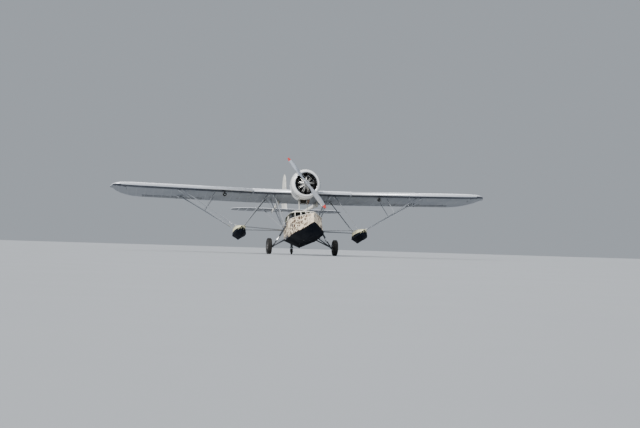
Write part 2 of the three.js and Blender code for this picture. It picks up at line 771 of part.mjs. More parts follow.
// Propeller: radius, chord, thickness and blade angle from the plane of rotation.
const BLADE = [
  { r: 60, chord: 96, thick: 92, pitch: 60 },
  { r: 190, chord: 106, thick: 74, pitch: 54 },
  { r: 340, chord: 152, thick: 46, pitch: 44 },
  { r: 560, chord: 196, thick: 32, pitch: 33 },
  { r: 820, chord: 200, thick: 23, pitch: 25 },
  { r: 1040, chord: 172, thick: 16, pitch: 20 },
  { r: 1180, chord: 122, thick: 11, pitch: 18 },
  { r: PROP.radius, chord: 44, thick: 7, pitch: 17 },
];

function bladeForm() {
  const between = [-0.36, 0, 0.3];
  return loft(
    BLADE.map(({ r, chord, thick, pitch }) => {
      const [across, deep] = [Math.cos(degToRad(pitch)), Math.sin(degToRad(pitch))];
      const at = (s, side) => {
        const bulge = side * thick * 0.5 * Math.sqrt(1 - (2 * s) ** 2);
        return vec(s * chord * across + bulge * deep, s * chord * deep - bulge * across, r);
      };
      const back = between.map((s) => at(s, -1)).reverse();
      return [at(-0.5, 1), ...between.map((s) => at(s, 1)), at(0.5, 1), ...back];
    }),
  );
}

function buildPropeller() {
  const boreRadius = PROP.shaftRadius + 0.8;
  const hub = turnedAlongY(
    [
      [boreRadius, -88],
      [46, -96],
      [PROP.hubRadius, -62],
      [PROP.hubRadius, 62],
      [58, 78],
      [boreRadius, 78],
      [boreRadius, -88],
    ],
    0,
    0,
    24,
  );
  const sleeve = new THREE.CylinderGeometry(60, 64, 150, 16).rotateX(Math.PI / 2).translate(0, 0, 125);
  const half = join(bladeForm(), solidFrom(sleeve));
  const bore = turnedAlongY(
    [
      [0, -120],
      [boreRadius, -120],
      [boreRadius, 120],
      [0, 120],
    ],
    0,
    0,
    24,
  );
  return cut(join(hub, half, half.rotate([0, 180, 0])), bore).rotate([0, -PROP.tilt, 0]);
}

// Struts

const hullBody = join(hullOuter, sprayStrips);
const hullSkin = skin(hullBody, "x", "y", "-z");

// Two legs and a diagonal from the hull's side to the wing, port side.
function buildHullStruts() {
  const frontTop = sparPoint(STRUT_X.hull, WING.frontSpar);
  const rearTop = sparPoint(STRUT_X.hull, WING.rearSpar);
  const frontFoot = vec(690, 3380, 868);
  const rearFoot = vec(650, 4330, 872);
  const [low, high] = [rearFoot.clone().lerp(rearTop, 0.06), frontTop.clone().lerp(frontFoot, 0.06)];
  const legs = join(
    bar(frontFoot, frontTop, ...STRUT.hull),
    bar(rearFoot, rearTop, ...STRUT.hull),
    bar(low, high, ...STRUT.diagonal),
  );
  const shoes = [frontFoot, rearFoot].map((foot) =>
    block([foot.x - 60, foot.y - 90, foot.z - 60], [foot.x + 24, foot.y + 90, foot.z + 42]),
  );
  return cut(join(legs, ...shoes), hullSkin, wingUnder);
}

// A rail along the float's deck that carries the feet of two struts.
const FLOAT_DECK = 742;
const RAIL_Z = FLOAT_DECK + 16;
const floatRail = (x) =>
  bar(vec(x, FLOAT.frontY - 120, RAIL_Z), vec(x, FLOAT.rearY + 120, RAIL_Z), ...STRUT.rail);

// The long struts from the float up to the wing, their jury struts and the float's outer rail.
function buildWingStruts() {
  const { railOuter, frontY, rearY } = FLOAT;
  const feet = [vec(railOuter, frontY, RAIL_Z), vec(railOuter, rearY, RAIL_Z)];
  const tops = [sparPoint(STRUT_X.wing, WING.frontSpar), sparPoint(STRUT_X.wing, WING.rearSpar)];
  const middles = feet.map((foot, i) => foot.clone().lerp(tops[i], 0.52));
  const juryTops = [WING.frontSpar, WING.rearSpar].map((spar) => sparPoint(3560, spar));
  return cut(
    join(
      ...feet.map((foot, i) => bar(foot, tops[i], ...STRUT.wing)),
      floatRail(railOuter),
      bar(...middles, ...STRUT.crossbar),
      ...middles.map((middle, i) => bar(middle, juryTops[i], ...STRUT.jury)),
    ),
    wingUnder,
    floatSkin,
  );
}

// The shorter struts from the float up to the wing, the spreaders to the hull and the inner rail.
function buildFloatFrame() {
  const { railInner, frontY, rearY } = FLOAT;
  const feet = [vec(railInner, frontY, RAIL_Z), vec(railInner, rearY, RAIL_Z)];
  const tops = [
    sparPoint(STRUT_X.floatInner, WING.frontSpar),
    sparPoint(STRUT_X.floatInner, WING.rearSpar),
  ];
  const roots = [vec(590, frontY, 650), vec(580, rearY - 150, 760)];
  return cut(
    join(
      ...feet.map((foot, i) => bar(foot, tops[i], ...STRUT.wing)),
      ...feet.map((foot, i) => bar(foot, roots[i], ...STRUT.spreader)),
      floatRail(railInner),
    ),
    wingUnder,
    floatSkin,
    hullSkin,
    hullStrutSkin,
  );
}

// Two slim posts that carry the nacelle on the cabin roof.
function buildCabaneStruts() {
  const legs = [-1, 1].map((side) =>
    bar(vec(side * 175, 2840, 1350), vec(side * 165, 3170, 2200), ...STRUT.cabane),
  );
  const sole = block([-200, 2800, 1350], [200, 2890, 1402]);
  const pipeRoom = tailPipe(PIPE_WIDTH + 2 * GAP);
  return cut(join(...legs, sole), skin(cabinForm(0), "z"), skin(nacelleForm, "-z"), pipeRoom);
}

// Outrigger float, port side

const FLOAT_SECTIONS = [
  { y: 0, keel: 600, chineX: 18, chineZ: 640, deckX: 16, deckZ: 716 },
  { y: 130, keel: 462, chineX: 128, chineZ: 556, deckX: 112, deckZ: 730 },
  { y: 420, keel: 350, chineX: 218, chineZ: 484, deckX: 196, deckZ: 740 },
  { y: 850, keel: 304, chineX: 252, chineZ: 452, deckX: 228, deckZ: FLOAT_DECK },
  { y: 1350, keel: 304, chineX: 252, chineZ: 452, deckX: 228, deckZ: FLOAT_DECK },
  { y: 1760, keel: 396, chineX: 196, chineZ: 510, deckX: 176, deckZ: 736 },
  { y: 2120, keel: 560, chineX: 22, chineZ: 618, deckX: 20, deckZ: 714 },
];
const floatForm = loft(
  easedRows(FLOAT_SECTIONS, 3).map((row) =>
    boatRing(FLOAT.x, FLOAT.bowY + row.y, row.keel, row.chineX, row.chineZ, row.deckX, row.deckZ, 16),
  ),
);
const floatSkin = skin(floatForm, "z");

const hullStruts = buildHullStruts();
const hullStrutSkin = skin(hullStruts, "x");

// Tail

const tailRing = (x) => {
  const share = tipShare(Math.abs(x), TAIL.tipStart, TAIL.span / 2);
  const [front, rear] = [TAIL.hingeY - TAIL.leadY, TAIL.trailY - TAIL.hingeY];
  const lead = TAIL.hingeY - front * (0.35 + 0.65 * share);
  const trail = TAIL.hingeY + rear * (0.25 + 0.75 * share);
  const thickness = (TAIL.thickness * (0.4 + 0.6 * share)) / (trail - lead);
  return foilRing(lead, trail - lead, thickness, 0, foilPoint(x, TAIL.z));
};
const tailSpan = [0, ...TIP_STATIONS].map((t) => TAIL.tipStart + t * (TAIL.span / 2 - TAIL.tipStart));
const tailForm = loft([...tailSpan.map((x) => -x).reverse(), ...tailSpan].map(tailRing));
const tailReach = TAIL.span / 2;

// Turns the level tail by its incidence about the elevator's hinge.
const atIncidence = (solid) =>
  solid
    .translate([0, -TAIL.hingeY, -TAIL.z])
    .rotate([-TAIL.incidence, 0, 0])
    .translate([0, TAIL.hingeY, TAIL.z]);
const tailSurface = atIncidence(tailForm);

// The elevator's rounded nose follows the tailplane's thickness along the hinge.
function tailNose(grow, reach) {
  const stations = tailSpan.filter((x) => x < reach).concat(reach);
  const halfThickness = (x) => {
    const ring = tailRing(x);
    const meetsHinge = (p, i) =>
      (p.y - TAIL.hingeY) * (ring[(i + 1) % ring.length].y - TAIL.hingeY) <= 0;
    return Math.max(...ring.filter(meetsHinge).map((p) => Math.abs(p.z - TAIL.z)));
  };
  const side = stations.map((x) => [halfThickness(x) + grow, x]);
  const across = [...side.map(([r, x]) => [r, -x]).reverse(), ...side];
  return turnedAlongX([[0, -reach], ...across, [0, reach]], TAIL.hingeY, TAIL.z, 20);
}

function buildTailplane() {
  const bay = join(
    block([-tailReach, TAIL.hingeY, TAIL.z - 200], [tailReach, TAIL.trailY + 100, TAIL.z + 200]),
    tailNose(RUNNING, tailReach),
  );
  const lug = cut(
    block([-30, TAIL.hingeY - 80, TAIL.z - 30], [30, TAIL.hingeY + 34, TAIL.z + 30]),
    rodAlongX(-40, 40, 20.7, TAIL.hingeY, TAIL.z, 20),
  );
  return atIncidence(join(cut(tailForm, bay), lug));
}

function buildElevator() {
  const blade = tailForm.intersect(
    block([-tailReach, TAIL.hingeY, TAIL.z - 200], [tailReach, TAIL.trailY + 100, TAIL.z + 200]),
  );
  const nose = tailNose(0, tailReach - 120);
  const plan = [
    [-TAIL.notchRoot, TAIL.hingeY - 60],
    [-TAIL.notchRoot, TAIL.hingeY + 20],
    [-TAIL.notchTip, TAIL.trailY + 60],
    [TAIL.notchTip, TAIL.trailY + 60],
    [TAIL.notchRoot, TAIL.hingeY + 20],
    [TAIL.notchRoot, TAIL.hingeY - 60],
  ];
  const shape = new THREE.Shape(plan.map(([x, y]) => new THREE.Vector2(x, y)));
  const notch = solidFrom(new THREE.ExtrudeGeometry(shape, { depth: 400, bevelEnabled: false })).translate([
    0,
    0,
    TAIL.z - 200,
  ]);
  const tube = rodAlongX(-TAIL.notchRoot - 40, TAIL.notchRoot + 40, 20, TAIL.hingeY, TAIL.z, 20);
  return atIncidence(join(cut(join(blade, nose), notch), tube));
}

// Fin and rudder: height, leading edge and trailing edge of the whole surface.
const FIN_SECTIONS = [
  { z: FIN.rootZ - 40, lead: 7890, trail: 9530 },
  { z: FIN.rootZ, lead: 7900, trail: 9560 },
  { z: 2420, lead: 7960, trail: 9700 },
  { z: 2700, lead: 8060, trail: FIN.trailY },
  { z: 3100, lead: 8180, trail: 9720 },
  { z: 3460, lead: 8290, trail: 9640 },
  { z: 3700, lead: 8400, trail: 9520 },
  { z: 3860, lead: 8560, trail: 9380 },
  { z: 3950, lead: 8720, trail: 9220 },
  { z: FIN.rudderTopZ, lead: 8860, trail: 9060 },
];
const finForm = loft(
  FIN_SECTIONS.map(({ z, lead, trail }) => {
    const thickness = (FIN.thickness * Math.min(1, (trail - lead) / 900)) / (trail - lead);
    return foilRing(lead, trail - lead, thickness, 0, (y, x) => vec(x, y, z));
  }),
);
const FIN_NOSE = 39;
const rodAlongZ = (z0, z1, radius, y, sides = 20) => {
  const rod = new THREE.CylinderGeometry(radius, radius, z1 - z0, sides).rotateX(Math.PI / 2);
  return solidFrom(rod.translate(0, y, (z0 + z1) / 2));
};
const LUG = 18;
const rudderFoot = FIN.rootZ + LUG + 20 + RUNNING;

function buildFin() {
  const { hingeY, rootZ, topZ } = FIN;
  const bay = join(
    block([-200, hingeY, rootZ - 80], [200, FIN.trailY + 100, FIN.rudderTopZ + 50]),
    block([-200, 7000, topZ], [200, FIN.trailY, FIN.rudderTopZ + 50]),
    rodAlongZ(rootZ - 60, topZ + 20, FIN_NOSE + RUNNING, hingeY),
  );
  const footLug = block([-16, hingeY - 110, rootZ + 20], [16, hingeY + 22, rootZ + 20 + LUG]);
  const topLug = block([-16, hingeY - 110, topZ - LUG], [16, hingeY + 22, topZ]);
  const pins = [
    rodAlongZ(rootZ + 22, rootZ + 20 + LUG + PIN.length, PIN.radius, hingeY),
    rodAlongZ(topZ - LUG + 2, topZ + PIN.length, PIN.radius, hingeY),
  ];
  return cut(join(cut(finForm, bay), footLug, topLug, ...pins), skin(tailSurface, "z"));
}

function buildRudder() {
  const { hingeY, topZ, rudderTopZ } = FIN;
  const bladeBox = join(
    block([-200, hingeY, rudderFoot], [200, FIN.trailY + 100, rudderTopZ + 50]),
    block([-200, 7000, topZ + RUNNING], [200, hingeY + 10, rudderTopZ + 50]),
  );
  const nose = rodAlongZ(rudderFoot, topZ + RUNNING + 4, FIN_NOSE, hingeY);
  const lugRoom = block([-60, hingeY - 120, topZ - LUG - RUNNING], [60, hingeY + 40, topZ + RUNNING]);
  const bores = [
    rodAlongZ(rudderFoot - 10, rudderFoot + PIN.length, PIN.bore, hingeY),
    rodAlongZ(topZ - 10, topZ + RUNNING + PIN.length, PIN.bore, hingeY),
  ];
  return cut(join(finForm.intersect(bladeBox), nose), lugRoom, ...bores);
}

function buildBoom() {
  const steps = [0, 0.04, 0.5, 0.94, 1];
  const size = [0.55, 1, 0.8, 0.62, 0.3];
  const form = loft(
    steps.map((t, i) => {
      const x = BOOM.frontX + (BOOM.rearX - BOOM.frontX) * t;
      const y = BOOM.frontY + (BOOM.rearY - BOOM.frontY) * t;
      const z = BOOM.frontZ + (BOOM.rearZ - BOOM.frontZ) * t;
      return ellipseRing(x, y, z, 62 * size[i], 92 * size[i], 14);
    }),
  );
  const { rearX, frontX, frontY, frontZ } = BOOM;
  const saddle = bar(vec(rearX + 12, 7960, 2110), vec(rearX + 12, 7960, TAIL.z), 240, 46, 12);
  const pylon = block([frontX - 36, frontY + 60, frontZ], [frontX + 28, frontY + 320, frontZ + 170]);
  return cut(join(form, saddle, pylon), wingUnder, skin(tailSurface, "-z"));
}

const boomForm = buildBoom();
const boomSkin = skin(boomForm, "-z");

// From the stern to the boom and to the tailplane, port side.
function buildTailStruts() {
  const foot = vec(34, 6290, 800);
  return cut(
    join(
      bar(foot, vec(1090, 8010, TAIL.z), ...STRUT.tail),
      bar(foot, vec(742, 6460, 2040), ...STRUT.tail),
      block([0, foot.y - 90, foot.z - 70], [foot.x + 60, foot.y + 110, foot.z + 50]),
    ),
    hullSkin,
    skin(tailSurface, "-z"),
    boomSkin,
    block([-500, 5900, 0], [GAP, 6800, 3000]),
  );
}

// Undercarriage, port side

const LEG_ROOTS = [vec(600, 2860, 300), vec(600, 3440, 300)];

function buildGearLeg() {
  const { x, y, z, axle, width } = WHEEL;
  const inner = vec(x - width / 2 - 52, y, z);
  const tubes = LEG_ROOTS.map((root) => bar(root, inner, ...STRUT.gear));
  const stub = rodAlongX(inner.x - 30, x + 64, axle, y, z, 24);
  const collar = rodAlongX(inner.x - 34, inner.x + 34, 44, y, z, 16);
  const nut = rodAlongX(x + 76, x + 92, 34, y, z, 6);
  const tip = rodAlongX(x + 60, x + 80, axle, y, z, 24);
  const shoes = LEG_ROOTS.map((root) => block([610, root.y - 70, 286], [678, root.y + 70, 352]));
  return cut(join(...tubes, stub, collar, tip, nut, ...shoes), hullSkin);
}

function buildOleo() {
  const { x, y, z, width } = WHEEL;
  const foot = vec(x - width / 2 - 62, y, z);
  const head = vec(620, y, 900);
  const middle = foot.clone().lerp(head, 0.5);
  return cut(
    join(
      bar(foot, middle, 46, 46, 12),
      bar(foot.clone().lerp(head, 0.42), head, 74, 74, 12),
      block([640, y - 60, 850], [722, y + 60, 940]),
    ),
    hullSkin,
    skin(gearLeg, "z"),
  );
}

const gearLeg = buildGearLeg();

function buildTyre() {
  const { radius, width, rim } = WHEEL;
  const w = width / 2;
  const profile = [
    [rim, -w * 0.62],
    [radius * 0.72, -w * 0.94],
    [radius * 0.88, -w],
    [radius * 0.96, -w * 0.78],
    [radius, -w * 0.36],
    [radius, w * 0.36],
    [radius * 0.96, w * 0.78],
    [radius * 0.88, w],
    [radius * 0.72, w * 0.94],
    [rim, w * 0.62],
    [rim, -w * 0.62],
  ];
  return turnedAlongX(profile, 0, 0, 32);
}

function buildWheelHub() {
  const { rim, bore, width } = WHEEL;
  const w = width / 2;
  const edge = rim - GAP;
  const profile = [
    [bore, -w * 0.8],
    [52, -w * 0.8],
    [60, -w * 0.55],
    [edge - 16, -w * 0.5],
    [edge, -w * 0.62],
    [edge, w * 0.62],
    [edge - 16, w * 0.5],
    [60, w * 0.45],
    [52, w * 0.62],
    [bore, w * 0.62],
    [bore, -w * 0.8],
  ];
  return turnedAlongX(profile, 0, 0, 32);
}

// Tailwheel: its axle stands so high that all three wheels touch one level floor.
const tailAxle = (() => {
  const heightOf = (y, z) => z * Math.cos(GROUND_PITCH) - y * Math.sin(GROUND_PITCH);
  const ground = heightOf(WHEEL.y, WHEEL.z) - WHEEL.radius;
  const y = TAILWHEEL.y + TAILWHEEL.trail;
  const z = (ground + TAILWHEEL.radius + y * Math.sin(GROUND_PITCH)) / Math.cos(GROUND_PITCH);
  return { y, z };
})();
const FORK_CROWN = 296;

function buildTailwheelBracket() {
  const { y, bore } = TAILWHEEL;
  const body = loft([
    ellipseRing(0, 0, 0, 46, 60, 16),
    ellipseRing(0, 130, 0, 62, 86, 16),
  ])
    .rotate([90, 0, 0])
    .translate([0, y, FORK_CROWN + 22]);
  const heel = block([-30, y, FORK_CROWN + 60], [30, y + 130, 640]);
  const hole = rodAlongZ(FORK_CROWN, FORK_CROWN + 96, bore, y, 24);
  return cut(join(body, heel), hole, skin(hullOuter, "-z"));
}

function buildTailFork() {
  const { y, width, pin } = TAILWHEEL;
  const inner = width / 2 + 7;
  const cheekX = inner + 8;
  const cheek = join(
    bar(vec(cheekX, y, FORK_CROWN + 2), vec(cheekX, tailAxle.y, tailAxle.z), 46, 15),
    rodAlongX(inner, inner + 18, 24, tailAxle.y, tailAxle.z),
  );
  const crown = block([-inner - 17, y - 34, FORK_CROWN - 22], [inner + 17, y + 34, FORK_CROWN + 16]);
  const kingpin = rodAlongZ(FORK_CROWN, FORK_CROWN + 88, pin, y, 24);
  const axle = rodAlongX(-inner - 4, inner + 4, 11, tailAxle.y, tailAxle.z);
  return join(cheek, mirrored(cheek), crown, kingpin, axle);
}

function buildTailwheel() {
  const { radius, width } = TAILWHEEL;
  const w = width / 2;
  const profile = [
    [11.7, -w],
    [30, -w],
    [34, -w * 0.6],
    [radius * 0.62, -w * 0.6],
    [radius * 0.72, -w],
    [radius * 0.92, -w * 0.86],
    [radius, -w * 0.36],
    [radius, w * 0.36],
    [radius * 0.92, w * 0.86],
    [radius * 0.72, w],
    [radius * 0.62, w * 0.6],
    [34, w * 0.6],
    [30, w],
    [11.7, w],
    [11.7, -w],
  ];
  return turnedAlongX(profile, 0, 0, 22);
}

// Hatch lids and lamps

const LID_OVERHANG = 8;
const bowLidAt = vec(0, HATCH.bowY[0] - LID_OVERHANG, HATCH.bowTop + GAP);

function buildBowLid() {
  const length = HATCH.bowY[1] - HATCH.bowY[0];
  const half = HATCH.bowX;
  const plate = block([-half - LID_OVERHANG, 0, 0], [half + LID_OVERHANG, length + 2 * LID_OVERHANG, 14]);
  const pan = block([-half + 20, 28, 10], [half - 20, length - 12, 26]);
  return join(plate, pan);
}

const AFT_LID = (() => {
  const [front] = HATCH.aftY;
  const [a, b] = [CABIN_POSTS[5].roof, CABIN_POSTS[6].roof];
  const slope = (b[2] - a[2]) / (b[1] - a[1]);
  return { y: front - 22, z: a[2] + slope * (front - 22 - a[1]), angle: Math.atan(-slope) };
})();

function buildAftLid() {
  const length = (HATCH.aftY[1] - HATCH.aftY[0]) / Math.cos(AFT_LID.angle) + 44;
  const plate = block([-HATCH.aftX - 22, 0, GAP], [HATCH.aftX + 22, length, GAP + 14]);
  const pan = block([-HATCH.aftX + 10, 34, GAP + 10], [HATCH.aftX - 10, length - 34, GAP + HATCH.plate]);
  return join(plate, pan);
}

function buildLamp() {
  const centreZ = WING.leadZ - LAMP.drop;
  const bowl = turnedAlongY(
    [
      [0, LAMP.y - 60],
      [62, LAMP.y - 56],
      [LAMP.radius, LAMP.y - 46],
      [LAMP.radius, LAMP.y - 16],
      [74, LAMP.y + 50],
      [34, LAMP.y + 120],
      [0, LAMP.y + 136],
    ],
    LAMP.x,
    centreZ,
    20,
  );
  const stalk = bar(vec(LAMP.x, LAMP.y + 30, centreZ), vec(LAMP.x, LAMP.y + 60, WING.leadZ + 60), 60, 30);
  return cut(join(bowl, stalk), wingUnder);
}

// Assembly

// Adds a piece to a group, with its own origin at the given point of that group.
function add(group, name, solid, material, origin = vec(0, 0, 0), turn = null) {
  const geometry = geometryFrom(solid.translate([-origin.x, -origin.y, -origin.z]));
  const mesh = new THREE.Mesh(geometry, material);
  mesh.name = name;
  mesh.position.copy(origin);
  if (turn) mesh.rotation.set(...turn);
  group.add(mesh);
  return mesh;
}

// Adds a port piece and its mirror image to starboard.
function addPair(name, portSolid, material, origin = vec(0, 0, 0)) {
  add(airframe, `${name}_port`, portSolid, material, origin);
  add(airframe, `${name}_starboard`, mirrored(portSolid), material, vec(-origin.x, origin.y, origin.z));
}

function addPlaced(name, solid, material, origin, turn) {
  const mesh = new THREE.Mesh(geometryFrom(solid), material);
  mesh.name = name;
  mesh.position.copy(origin);
  if (turn) mesh.rotation.set(...turn);
  airframe.add(mesh);
}

add(airframe, "hull", buildHull(), MATERIAL.hull);
add(airframe, "cabin_frame", buildCabinFrame(), MATERIAL.cream);
add(airframe, "windscreen", glazing([-700, 1700, 1008], [700, PANE.splitY - 5, 1276]), MATERIAL.glass);
for (const [name, side] of [
  ["side_windows_port", 1],
  ["side_windows_starboard", -1],
]) {
  const xs = side > 0 ? [300, 700] : [-700, -300];
  add(airframe, name, glazing([xs[0], PANE.splitY + 5, 1008], [xs[1], 4040, 1276]), MATERIAL.glass);
}
add(airframe, "instrument_panel", buildInstrumentPanel(), MATERIAL.dark);
add(airframe, "control_column", buildControlColumn(), MATERIAL.dark);
add(airframe, "front_seats", buildFrontSeats(), MATERIAL.leather);
add(airframe, "rear_seat", buildRearSeat(), MATERIAL.leather);
addPlaced("bow_hatch_lid", buildBowLid(), MATERIAL.cream, bowLidAt);
const aftLidAt = vec(0, AFT_LID.y, AFT_LID.z);
addPlaced("cabin_hatch_lid", buildAftLid(), MATERIAL.cream, aftLidAt, [-AFT_LID.angle, 0, 0]);

const panel = buildWingPanel();
const aileron = buildAileron();
add(centreWing, "wing_centre", centreForm, MATERIAL.silver);
const hingeAt = vec(AILERON.inner - WING.joint, aileronHinge.y, aileronHinge.z);
add(portWing, "wing_port", panel, MATERIAL.silver);
add(portWing, "aileron_port", aileron, MATERIAL.silver, hingeAt);
add(starboardWing, "wing_starboard", mirrored(panel), MATERIAL.silver);
const mirrorHinge = vec(-hingeAt.x, hingeAt.y, hingeAt.z);
add(starboardWing, "aileron_starboard", mirrored(aileron), MATERIAL.silver, mirrorHinge);

add(airframe, "cowl", buildCowl(), MATERIAL.cream);
add(airframe, "engine", cut(buildEngine(), exhaustForm(GAP)), MATERIAL.engine);
add(airframe, "nacelle", cut(nacelleForm, centreGrown), MATERIAL.cream);
add(airframe, "oil_cooler", buildOilCooler(), MATERIAL.dark);
add(airframe, "exhaust", buildExhaust(), MATERIAL.copper);
addPlaced("propeller", buildPropeller(), MATERIAL.blade, vec(0, PROP.y, PROP.z));

add(airframe, "cabane_struts", buildCabaneStruts(), MATERIAL.strut);
addPair("hull_struts", hullStruts, MATERIAL.strut);
addPair("wing_struts", buildWingStruts(), MATERIAL.strut);
addPair("float_frame", buildFloatFrame(), MATERIAL.strut);
addPair("float", floatForm, MATERIAL.hull);

addPair("boom", boomForm, MATERIAL.cream);
addPair("tail_struts", buildTailStruts(), MATERIAL.strut);
add(airframe, "tailplane", buildTailplane(), MATERIAL.silver);
add(airframe, "elevator", buildElevator(), MATERIAL.silver, vec(0, TAIL.hingeY, TAIL.z));
add(airframe, "fin", buildFin(), MATERIAL.cream);
add(airframe, "rudder", buildRudder(), MATERIAL.cream, vec(0, FIN.hingeY, FIN.rootZ));

addPair("gear_leg", gearLeg, MATERIAL.strut);
addPair("oleo", buildOleo(), MATERIAL.strut);
for (const [side, sign] of [
  ["port", 1],
  ["starboard", -1],
]) {
  const centre = vec(sign * WHEEL.x, WHEEL.y, WHEEL.z);
  const faced = (solid) => (sign > 0 ? solid : mirrored(solid));
  addPlaced(`tyre_${side}`, faced(buildTyre()), MATERIAL.rubber, centre);
  addPlaced(`wheel_hub_${side}`, faced(buildWheelHub()), MATERIAL.silver, centre);
}
add(airframe, "tailwheel_bracket", buildTailwheelBracket(), MATERIAL.strut);
add(airframe, "tail_fork", buildTailFork(), MATERIAL.strut, vec(0, TAILWHEEL.y, FORK_CROWN));
addPlaced("tailwheel", buildTailwheel(), MATERIAL.rubber, vec(0, tailAxle.y, tailAxle.z));
addPair("landing_lamp", buildLamp(), MATERIAL.dark);

// Stand the airframe on its three wheels, with the middle of its footprint at the origin.
const flyingBoat = new THREE.Group();
airframe.rotation.x = -GROUND_PITCH;
flyingBoat.add(airframe);
flyingBoat.updateMatrixWorld(true);
const bounds = new THREE.Box3().setFromObject(flyingBoat, true);
airframe.position.set(0, -(bounds.min.y + bounds.max.y) / 2, -bounds.min.z);

export default flyingBoat;
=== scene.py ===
"""Looks of the twin-boom amphibious flying boat: finishes, fittings, upholstery and studio.

Every piece is drawn in one of the airframe's own frames (the datum, the wing or a wing panel) and
placed in the row frame when it is finished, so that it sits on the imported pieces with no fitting.
"""
import json
import logging
import math
from collections.abc import Callable, Iterable, Mapping, Sequence
from dataclasses import dataclass
from enum import Enum
from functools import cache
from typing import Any

import bmesh
import bpy
from mathutils import Matrix, Vector
from mathutils.bvhtree import BVHTree

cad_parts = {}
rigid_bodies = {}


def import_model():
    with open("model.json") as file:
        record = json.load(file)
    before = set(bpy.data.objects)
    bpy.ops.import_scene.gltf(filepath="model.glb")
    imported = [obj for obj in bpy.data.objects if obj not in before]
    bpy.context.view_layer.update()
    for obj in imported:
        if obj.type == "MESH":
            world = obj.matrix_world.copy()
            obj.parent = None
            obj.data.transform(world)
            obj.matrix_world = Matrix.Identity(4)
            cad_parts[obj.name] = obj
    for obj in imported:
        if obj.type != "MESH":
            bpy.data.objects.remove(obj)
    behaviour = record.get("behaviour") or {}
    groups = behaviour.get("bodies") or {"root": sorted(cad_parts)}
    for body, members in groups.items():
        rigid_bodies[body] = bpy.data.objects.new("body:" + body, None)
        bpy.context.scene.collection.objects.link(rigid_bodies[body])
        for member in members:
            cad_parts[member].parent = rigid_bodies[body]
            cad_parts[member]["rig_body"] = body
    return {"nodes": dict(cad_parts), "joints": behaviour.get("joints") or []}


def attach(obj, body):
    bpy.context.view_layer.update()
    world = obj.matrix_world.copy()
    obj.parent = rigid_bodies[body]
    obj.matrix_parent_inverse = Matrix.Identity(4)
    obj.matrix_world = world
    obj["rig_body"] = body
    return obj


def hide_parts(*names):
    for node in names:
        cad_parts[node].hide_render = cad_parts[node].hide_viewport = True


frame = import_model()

LOG = logging.getLogger("flying_boat")
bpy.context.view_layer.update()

Point = tuple[float, float, float]
Colour = tuple[float, float, float, float]
Numbers = Sequence[float]
Rows = Sequence[Numbers]
Profile = Sequence[tuple[float, float]]
Socket = bpy.types.NodeSocket

# Directions in the datum frame and in the wing's frames
ACROSS, AFT, UP, DOWN = (1, 0, 0), (0, 1, 0), (0, 0, 1), (0, 0, -1)

# Rule that gives each face of a piece the index of its finish
Rule = Callable[[Vector, Vector], int]


class Side(Enum):
    """A side of the airframe; its value is the sign of X there."""

    PORT = 1
    STARBOARD = -1

    @property
    def word(self) -> str:
        """The side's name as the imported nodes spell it."""
        return self.name.lower()

    def at(self, point: Numbers) -> Vector:
        """The given port point on this side."""
        return Vector((point[0] * self.value, point[1], point[2]))


@dataclass(frozen=True)
class Axes:
    """The frames that the airframe is drawn in, as matrices into the row frame.

    The datum has X to port, Y aft from the stem and Z up from the keel, in metres.
    """

    pitch: float = math.radians(7)
    hub: Point = (0.0, 2.05, 2.445)
    wing_lead: Point = (0.0, 3.1, 2.23)
    incidence: float = math.radians(5)
    dihedral: float = math.radians(1.05)
    wing_joint: float = 2.0404

    @property
    def datum(self) -> Matrix:
        """The datum frame, found from the propeller's joint."""
        spin = next(j for j in frame["joints"] if j["name"] == "propeller_spin")
        turn = Matrix.Rotation(-self.pitch, 4, "X")
        return Matrix.Translation(Vector(spin["pos_m"]) - turn @ Vector(self.hub)) @ turn

    @property
    def wing(self) -> Matrix:
        """The centre section's frame, with its origin on the leading edge."""
        place = Matrix.Translation(Vector(self.wing_lead))
        return self.datum @ place @ Matrix.Rotation(-self.incidence, 4, "X")

    def panel(self, side: Side) -> Matrix:
        """The frame of one wing panel, with its origin on the leading edge at the joint.

        Args:
            side: The panel's side.

        Returns:
            The panel's frame, with X still to port.
        """
        place = Matrix.Translation((self.wing_joint * side.value, 0, 0))
        return self.wing @ place @ Matrix.Rotation(-self.dihedral * side.value, 4, "Y")


AXES = Axes()
DATUM = AXES.datum


def srgb(red: int, green: int, blue: int) -> Colour:
    """A display colour of 0 to 255 per channel as a linear colour."""
    def linear(value: int) -> float:
        """One channel, linear."""
        share = value / 255
        return share / 12.92 if share <= 0.04045 else ((share + 0.055) / 1.055) ** 2.4

    return (linear(red), linear(green), linear(blue), 1.0)


